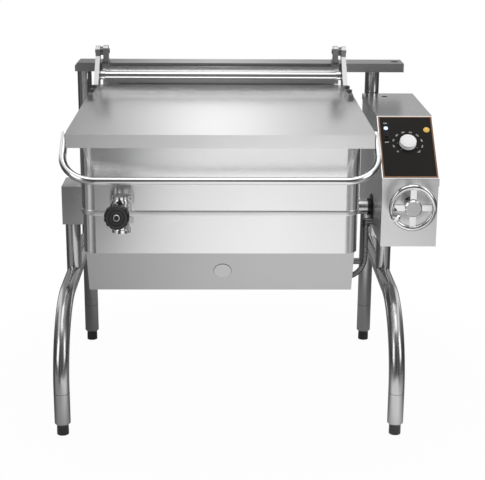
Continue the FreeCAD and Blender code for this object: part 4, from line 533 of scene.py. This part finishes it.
# control panel: marks and lenses on the slope, placed by how far across and how far up it
SLOPE_LEFT, SLOPE_FRONT, SLOPE_LOW = 482, 178, 793
SLOPE_RUN, SLOPE_RISE = 195, 163
SLOPE_UP = Vector((0, SLOPE_RUN, SLOPE_RISE)).normalized()
SLOPE_OUT = Vector((0, -SLOPE_UP.z, SLOPE_UP.y))
SLOPE_ORIGIN = at(SLOPE_LEFT, SLOPE_FRONT, SLOPE_LOW)


def reach_out(name):
    node = NODES[name]
    return max((node.matrix_world @ v.co - SLOPE_ORIGIN).dot(SLOPE_OUT) for v in node.data.vertices)


PANEL_TOP = reach_out("panel_plate")
DIAL_TOP = reach_out("dial_knob")
SWITCH_TOP = reach_out("rocker_switch")
PRINT_DEPTH = 0.0002
FONT_SIZE_PER_HEIGHT = 1.4


def on_slope(across, up, out):
    return SLOPE_ORIGIN + Vector((mm(across), 0, 0)) + SLOPE_UP * mm(up) + SLOPE_OUT * out


def word(name, text, across, up, height, turn):
    """Flat raised lettering on the panel, turned clockwise about its middle."""
    curve = bpy.data.curves.new(name, "FONT")
    curve.body = text
    curve.size = mm(height) * FONT_SIZE_PER_HEIGHT
    curve.align_x = "CENTER"
    curve.align_y = "CENTER"
    curve.extrude = PRINT_DEPTH / 2
    shape = bpy.data.objects.new(name + "_curve", curve)
    bpy.context.scene.collection.objects.link(shape)
    bpy.context.view_layer.update()
    mesh = bpy.data.meshes.new_from_object(shape.evaluated_get(bpy.context.evaluated_depsgraph_get()))
    bpy.data.objects.remove(shape)
    mesh.name = name
    side = Vector((1, 0, 0)) * math.cos(turn) - SLOPE_UP * math.sin(turn)
    up_way = Vector((1, 0, 0)) * math.sin(turn) + SLOPE_UP * math.cos(turn)
    place = on_slope(across, up, PANEL_TOP + PRINT_DEPTH / 2)
    columns = Matrix((side, up_way, SLOPE_OUT)).transposed().to_4x4()
    mesh.transform(Matrix.Translation(place) @ columns)
    mesh.materials.clear()
    make_piece(name, mesh, PRINT_WHITE, "stand")


DIAL_ACROSS, DIAL_UP = 92, 138
SCALE_RADIUS = 47
SCALE_MARKS = 10
SCALE_STEP = 50
SCALE_SWEEP = math.radians(267)
MARK_HEIGHT = 5.2
TICK_RADIUS, TICK_HEIGHT = 33, 4.0
TICK_DEGREES = (-135, -87, 119)
WORD_HEIGHT = 5.6
PANEL_WORDS = (("word_on", "ON", 25, 221), ("word_off", "OFF", 25, 143))


def round_the_dial(name, text, radius, turn, height):
    across = DIAL_ACROSS + radius * math.sin(turn)
    up = DIAL_UP + radius * math.cos(turn)
    word(name, text, across, up, height, turn)


def panel_print():
    for number in range(SCALE_MARKS):
        turn = SCALE_SWEEP * (number / (SCALE_MARKS - 1) - 0.5)
        text = str(SCALE_STEP * (number + 1))
        round_the_dial("scale_%d" % (number + 1), text, SCALE_RADIUS, turn, MARK_HEIGHT)
    for number, degrees in enumerate(TICK_DEGREES):
        round_the_dial("tick_%d" % number, "I", TICK_RADIUS, math.radians(degrees), TICK_HEIGHT)
    for name, text, across, up in PANEL_WORDS:
        word(name, text, across, up, WORD_HEIGHT, 0.0)


DIAL_CAP = [(-7.5, 0.0), (-7.5, 26.0), (-4.0, 26.6), (-2.2, 25.6), (-0.9, 22.0), (-0.1, 12.0), (0.0, 0.0)]
DIAL_SIDES = 64


def dial_cap():
    centre = on_slope(DIAL_ACROSS, DIAL_UP, DIAL_TOP)
    lathe("dial_cap", centre, SLOPE_OUT, DIAL_CAP, WHITE_PLASTIC, "dial", DIAL_SIDES)


SWITCH_LENS = [(-1.0, 0.0), (-1.0, 7.0), (0.6, 6.6), (1.6, 4.5), (2.1, 0.0)]
SWITCH_LENS_ACROSS, SWITCH_LENS_UP, SWITCH_LENS_DROP = 25, 198, 0.0022
SWITCH_LENS_SIDES = 32
LAMP_ACROSS, LAMP_UP = 157, 194
LAMP_COLLAR_IN, LAMP_COLLAR_OUT = 8.0, 9.6
LAMP_COLLAR_LOW, LAMP_COLLAR_HIGH = -0.3, 1.6


def lenses():
    lens = on_slope(SWITCH_LENS_ACROSS, SWITCH_LENS_UP, SWITCH_TOP - SWITCH_LENS_DROP)
    lathe("switch_lens", lens, SLOPE_OUT, SWITCH_LENS, BLUE, "switch", SWITCH_LENS_SIDES)
    ring(
        "lamp_collar", on_slope(LAMP_ACROSS, LAMP_UP, PANEL_TOP), SLOPE_OUT, LAMP_COLLAR_IN,
        LAMP_COLLAR_OUT, LAMP_COLLAR_LOW, LAMP_COLLAR_HIGH, BRONZE, "stand",
    )


panel_print()
dial_cap()
lenses()

# hinges of the cover: a spacer on each pin, a collar and a weld at each end of the torque tube, and bolts
PAN_MIDDLE = -28
PIVOT_BACK, PIVOT_HEIGHT = 800, 1108
TORQUE_BACK, TORQUE_HEIGHT = 776, 1026
BRACKET_OUTSIDE, ARM_INSIDE = 417, 428
BRACKET_INSIDE = 399
SPACER_IN, SPACER_OUT, SPACER_GAP = 8.2, 15.0, 0.4
COLLAR_IN, COLLAR_OUT, COLLAR_LENGTH, COLLAR_GAP, COLLAR_CHAMFER = 12.8, 16.0, 18, 0.2, 1.0
WELD_IN, WELD_OUT, WELD_LENGTH, WELD_CHAMFER = 15.5, 17.5, 2.5, 1.2
BOLT_HEIGHT, BOLT_BACK = 1068, PIVOT_BACK - 16
BOLT_PLACES = (5, 15)
BOLT_RADIUS, BOLT_IN, BOLT_OUT, BOLT_CHAMFER, BOLT_SIDES = 5.0, 1.0, 4.0, 0.6, 6


def hinge_details():
    pivot = at(PAN_MIDDLE, PIVOT_BACK, PIVOT_HEIGHT)
    torque = at(PAN_MIDDLE, TORQUE_BACK, TORQUE_HEIGHT)
    for side, sign in (("left", -1), ("right", 1)):
        way = (sign, 0, 0)
        ring(
            "hinge_spacer_" + side, pivot, way, SPACER_IN, SPACER_OUT,
            BRACKET_OUTSIDE + SPACER_GAP, ARM_INSIDE - SPACER_GAP, DARK_STEEL, "cover",
        )
        ring(
            "torque_collar_" + side, torque, way, COLLAR_IN, COLLAR_OUT,
            ARM_INSIDE - COLLAR_LENGTH, ARM_INSIDE - COLLAR_GAP, RAIL_STEEL, "cover", COLLAR_CHAMFER,
        )
        ring(
            "torque_weld_" + side, torque, way, WELD_IN, WELD_OUT,
            ARM_INSIDE - WELD_LENGTH, ARM_INSIDE, WELD_STEEL, "cover", WELD_CHAMFER,
        )
        for number, inward in enumerate(BOLT_PLACES):
            place = at(PAN_MIDDLE + sign * (BRACKET_INSIDE + inward), BOLT_BACK, BOLT_HEIGHT)
            disc(
                "block_bolt_%s_%d" % (side, number), place, TOWARDS_FRONT, BOLT_RADIUS,
                -BOLT_IN, BOLT_OUT, DARK_STEEL, "pan", BOLT_CHAMFER, BOLT_SIDES,
            )


hinge_details()

# flexible conduit: its route is the one that the source lays
CONDUIT_ROUTE = [
    (462, 400, 575), (462, 400, 511), (462, 393, 448), (439, 383, 415),
    (401, 368, 403), (363, 352, 415), (340, 342, 443), (340, 342, 475),
]
CONDUIT_RADIUS = 9.5
CONDUIT_RIB = 0.7
RIB_PITCH = 4.5
RIB_STEPS = 6
CONDUIT_SIDES = 24
CONDUIT_FINENESS = 60
LEAST_STEP = 1e-9


def conduit_line():
    curve = bpy.data.curves.new("conduit_line", "CURVE")
    curve.dimensions = "3D"
    curve.resolution_u = CONDUIT_FINENESS
    spline = curve.splines.new("NURBS")
    spline.points.add(len(CONDUIT_ROUTE) - 1)
    for point, (x, y, z) in zip(spline.points, CONDUIT_ROUTE):
        point.co = (*at(x, y, z), 1)
    spline.order_u = 3
    spline.use_endpoint_u = True
    shape = bpy.data.objects.new("conduit_line", curve)
    bpy.context.scene.collection.objects.link(shape)
    bpy.context.view_layer.update()
    mesh = bpy.data.meshes.new_from_object(shape.evaluated_get(bpy.context.evaluated_depsgraph_get()))
    line = [v.co.copy() for v in mesh.vertices]
    bpy.data.objects.remove(shape)
    return line


def conduit():
    line = conduit_line()
    lengths = [0.0]
    for before, after in zip(line, line[1:]):
        lengths.append(lengths[-1] + (after - before).length)
    total = lengths[-1]
    rings = int(total / mm(RIB_PITCH)) * RIB_STEPS
    points, path = [], []
    side = Vector((1, 0, 0))
    part = 0
    for step in range(rings + 1):
        reach = total * step / rings
        while part < len(line) - 2 and lengths[part + 1] < reach:
            part += 1
        share = (reach - lengths[part]) / max(lengths[part + 1] - lengths[part], LEAST_STEP)
        place = line[part].lerp(line[part + 1], share)
        way = (line[min(part + 2, len(line) - 1)] - line[max(part - 1, 0)]).normalized()
        side = (side - way * side.dot(way)).normalized()
        other = way.cross(side)
        dip = 0.5 + 0.5 * math.cos(2 * math.pi * step / RIB_STEPS)
        radius = mm(CONDUIT_RADIUS - CONDUIT_RIB * dip)
        path.append(place)
        for k in range(CONDUIT_SIDES):
            angle = 2 * math.pi * k / CONDUIT_SIDES
            points.append(place + (side * math.cos(angle) + other * math.sin(angle)) * radius)
    faces = joined_rings(rings + 1, CONDUIT_SIDES, False)
    faces.append(tuple(range(CONDUIT_SIDES)))
    faces.append(tuple(range(rings * CONDUIT_SIDES, (rings + 1) * CONDUIT_SIDES)))
    mesh = mesh_of("conduit", points, faces)
    mesh.materials.append(HOSE_GREY)
    hose = bpy.data.objects.new("conduit", mesh)
    bpy.context.scene.collection.objects.link(hose)
    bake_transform(hose)
    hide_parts("conduit_hose")


conduit()

# studio: pale floor, white surroundings for the camera, soft lamps
SOFT_LIGHT = 0.55
# what the steel mirrors, by how far sideways it looks: bright in the middle, dark cards, a soft box, dark
SURROUNDINGS = (
    (-1.0, 0.03), (-0.80, 0.22), (-0.70, 0.85), (-0.52, 0.80), (-0.42, 0.30), (-0.28, 0.24), (-0.12, 0.22),
    (-0.07, 0.42), (-0.018, 0.98), (0.012, 0.96), (0.06, 0.50), (0.14, 0.40), (0.28, 0.36), (0.42, 0.30),
    (0.52, 0.80), (0.70, 0.85), (0.80, 0.22), (1.0, 0.03),
)
# the surroundings are dim in front of the object, where the camera stands, and bright behind it
FRONT_FROM, FRONT_TO = -0.85, -0.15
FRONT_LIGHT, BEHIND_LIGHT = 0.22, 1.15


def across_ramp(tree, source, reach, stops):
    """Grey tones by place from side to side, from -reach to reach."""
    share = tree.nodes.new("ShaderNodeMapRange")
    share.inputs["From Min"].default_value = -reach
    share.inputs["From Max"].default_value = reach
    tree.links.new(source, share.inputs["Value"])
    ramp = tree.nodes.new("ShaderNodeValToRGB")
    marks = ramp.color_ramp.elements
    for mark, (place, tone) in zip(marks, (stops[0], stops[-1])):
        mark.position = 0.5 + 0.5 * place / reach
        mark.color = (tone, tone, tone, 1)
    for place, tone in stops[1:-1]:
        mark = marks.new(0.5 + 0.5 * place / reach)
        mark.color = (tone, tone, tone, 1)
    tree.links.new(share.outputs[0], ramp.inputs["Fac"])
    return ramp.outputs[0]


def eased(tree, source, low, high, before=0.0, after=1.0):
    """A smooth change from one value to another between two places."""
    step = tree.nodes.new("ShaderNodeMapRange")
    step.interpolation_type = "SMOOTHSTEP"
    step.inputs["From Min"].default_value = low
    step.inputs["From Max"].default_value = high
    step.inputs["To Min"].default_value = before
    step.inputs["To Max"].default_value = after
    tree.links.new(source, step.inputs["Value"])
    return step.outputs[0]


def mixed(tree, share, first, second):
    mix = tree.nodes.new("ShaderNodeMix")
    mix.data_type = "RGBA"
    tree.links.new(share, mix.inputs["Factor"])
    tree.links.new(first, mix.inputs["A"])
    tree.links.new(second, mix.inputs["B"])
    return mix.outputs["Result"]


def mixed_shaders(tree, share, first, second):
    mix = tree.nodes.new("ShaderNodeMixShader")
    tree.links.new(share, mix.inputs[0])
    tree.links.new(first, mix.inputs[1])
    tree.links.new(second, mix.inputs[2])
    return mix.outputs[0]


def white(tree, kind, strength):
    node = tree.nodes.new(kind)
    node.inputs["Color"].default_value = (1, 1, 1, 1)
    node.inputs["Strength"].default_value = strength
    return node.outputs[0]


def add_world():
    world = bpy.data.worlds.new("studio")
    bpy.context.scene.world = world
    world.use_nodes = True
    tree = world.node_tree
    tree.nodes.clear()
    out = tree.nodes.new("ShaderNodeOutputWorld")
    path = tree.nodes.new("ShaderNodeLightPath")
    place = tree.nodes.new("ShaderNodeTexCoord")
    parts = tree.nodes.new("ShaderNodeSeparateXYZ")
    tree.links.new(place.outputs["Generated"], parts.inputs[0])
    mirrored = tree.nodes.new("ShaderNodeBackground")
    tones = across_ramp(tree, parts.outputs["X"], 1.0, SURROUNDINGS)
    strength = eased(tree, parts.outputs["Y"], FRONT_FROM, FRONT_TO, FRONT_LIGHT, BEHIND_LIGHT)
    tree.links.new(tones, mirrored.inputs["Color"])
    tree.links.new(strength, mirrored.inputs["Strength"])
    soft = white(tree, "ShaderNodeBackground", SOFT_LIGHT)
    around = mixed_shaders(tree, path.outputs["Is Glossy Ray"], soft, mirrored.outputs[0])
    seen = tree.nodes.new("ShaderNodeMath")
    seen.operation = "MAXIMUM"
    tree.links.new(path.outputs["Is Camera Ray"], seen.inputs[0])
    tree.links.new(path.outputs["Is Transmission Ray"], seen.inputs[1])
    plain = white(tree, "ShaderNodeBackground", 1.0)
    tree.links.new(mixed_shaders(tree, seen.outputs[0], around, plain), out.inputs[0])


FLOOR_REACH = 12.0
FLOOR_TONE = 0.85
# the farther from the object, the more the floor is plain white to the camera
FADE_FROM, FADE_TO = 0.6, 1.5
FADE_NEAR, FADE_FAR = 0.965, 1.0
# what the steel mirrors of the floor, by how far sideways: bright in front, dark cards to the sides
CARDS_REACH = 4.0
FLOOR_CARDS = (
    (-4.0, 0.04), (-3.4, 0.05), (-3.1, 0.60), (-2.2, 0.75), (-1.95, 0.10), (-0.94, 0.10), (-0.77, 0.12),
    (-0.71, 0.45), (-0.55, 0.66), (-0.2, 0.88), (0.15, 0.97), (0.5, 0.88), (0.62, 0.90), (0.98, 0.80),
    (1.2, 0.12), (1.95, 0.10), (2.2, 0.75), (3.1, 0.60), (3.4, 0.05), (4.0, 0.04),
)
# the far part of the floor in front, which the upper half of the pan mirrors
FAR_CARDS = (
    (-4.0, 0.04), (-3.4, 0.05), (-3.1, 0.60), (-2.2, 0.75), (-1.95, 0.10), (-0.94, 0.05), (-0.88, 0.06),
    (-0.83, 0.62), (-0.80, 0.58), (-0.75, 0.02), (-0.69, 0.03), (-0.65, 0.16), (-0.58, 0.66), (-0.4, 0.82),
    (-0.1, 0.94), (0.15, 1.0), (0.5, 0.92), (0.62, 0.95), (1.02, 0.90), (1.2, 0.12), (1.95, 0.10),
    (2.2, 0.75), (3.1, 0.60), (3.4, 0.05), (4.0, 0.04),
)
FAR_FROM, FAR_TO = -2.5, -3.1
# the part just in front of the legs, which they mirror
FOOT_CARDS = (
    (-4.0, 0.25), (-1.2, 0.33), (-0.8, 0.36), (-0.6, 0.45), (-0.5, 0.56), (-0.35, 0.68), (-0.2, 0.82),
    (0.0, 0.90), (0.4, 0.86), (0.55, 0.95), (0.65, 0.85), (0.8, 0.60), (1.1, 0.50), (1.6, 0.30), (4.0, 0.20),
)
FOOT_FROM, FOOT_TO = -1.7, -1.3
# the floor under the object is in its shade
UNDER_FROM, UNDER_TO, UNDER_LIGHT = -0.6, -0.2, 0.25


def seen_floor(tree, path, place):
    """What the camera sees: plain white from afar, with the object's soft shadow close by."""
    matt = tree.nodes.new("ShaderNodeBsdfDiffuse")
    matt.inputs["Color"].default_value = (FLOOR_TONE, FLOOR_TONE, FLOOR_TONE, 1)
    away = tree.nodes.new("ShaderNodeVectorMath")
    away.operation = "LENGTH"
    tree.links.new(place.outputs["Object"], away.inputs[0])
    fade = eased(tree, away.outputs["Value"], FADE_FROM, FADE_TO, FADE_NEAR, FADE_FAR)
    seen = tree.nodes.new("ShaderNodeMath")
    seen.operation = "MULTIPLY"
    tree.links.new(path.outputs["Is Camera Ray"], seen.inputs[0])
    tree.links.new(fade, seen.inputs[1])
    glow = white(tree, "ShaderNodeEmission", 1.0)
    return mixed_shaders(tree, seen.outputs[0], matt.outputs[0], glow)


def mirrored_floor(tree, place):
    spots = tree.nodes.new("ShaderNodeSeparateXYZ")
    tree.links.new(place.outputs["Object"], spots.inputs[0])
    across, back = spots.outputs["X"], spots.outputs["Y"]
    near, far, foot = [
        across_ramp(tree, across, CARDS_REACH, stops) for stops in (FLOOR_CARDS, FAR_CARDS, FOOT_CARDS)
    ]
    front = mixed(tree, eased(tree, back, FAR_FROM, FAR_TO), near, far)
    card = tree.nodes.new("ShaderNodeEmission")
    tree.links.new(mixed(tree, eased(tree, back, FOOT_FROM, FOOT_TO), front, foot), card.inputs["Color"])
    tree.links.new(eased(tree, back, UNDER_FROM, UNDER_TO, 1.0, UNDER_LIGHT), card.inputs["Strength"])
    return card.outputs[0]


def add_floor():
    mesh = bpy.data.meshes.new("floor")
    reach = FLOOR_REACH
    corners = [(-reach, -reach, 0), (reach, -reach, 0), (reach, reach, 0), (-reach, reach, 0)]
    mesh.from_pydata(corners, [], [(0, 1, 2, 3)])
    floor = bpy.data.objects.new("floor", mesh)
    bpy.context.scene.collection.objects.link(floor)
    material = bpy.data.materials.new("floor")
    material.use_nodes = True
    tree = material.node_tree
    tree.nodes.clear()
    out = tree.nodes.new("ShaderNodeOutputMaterial")
    path = tree.nodes.new("ShaderNodeLightPath")
    place = tree.nodes.new("ShaderNodeTexCoord")
    seen = seen_floor(tree, path, place)
    mirrored = mirrored_floor(tree, place)
    surface = mixed_shaders(tree, path.outputs["Is Glossy Ray"], seen, mirrored)
    tree.links.new(surface, out.inputs[0])
    mesh.materials.append(material)


# lamps: name, place, what each points at, width, height and power
LAMPS = (
    ("lamp_top", (0.0, -0.6, 3.4), (0.0, 0.0, 0.8), 3.0, 2.4, 26),
    ("lamp_left", (-3.0, -2.6, 2.0), (0.0, 0.0, 0.7), 1.6, 2.2, 18),
    ("lamp_right", (3.2, -2.4, 2.2), (0.0, 0.0, 0.7), 1.4, 2.2, 16),
)


def add_lamps():
    for name, place, target, width, height, power in LAMPS:
        data = bpy.data.lights.new(name, "AREA")
        data.shape = "RECTANGLE"
        data.size = width
        data.size_y = height
        data.energy = power
        lamp = bpy.data.objects.new(name, data)
        bpy.context.scene.collection.objects.link(lamp)
        lamp.location = place
        aim = Vector(target) - Vector(place)
        lamp.rotation_euler = aim.to_track_quat("-Z", "Y").to_euler()


add_world()
add_floor()
add_lamps()
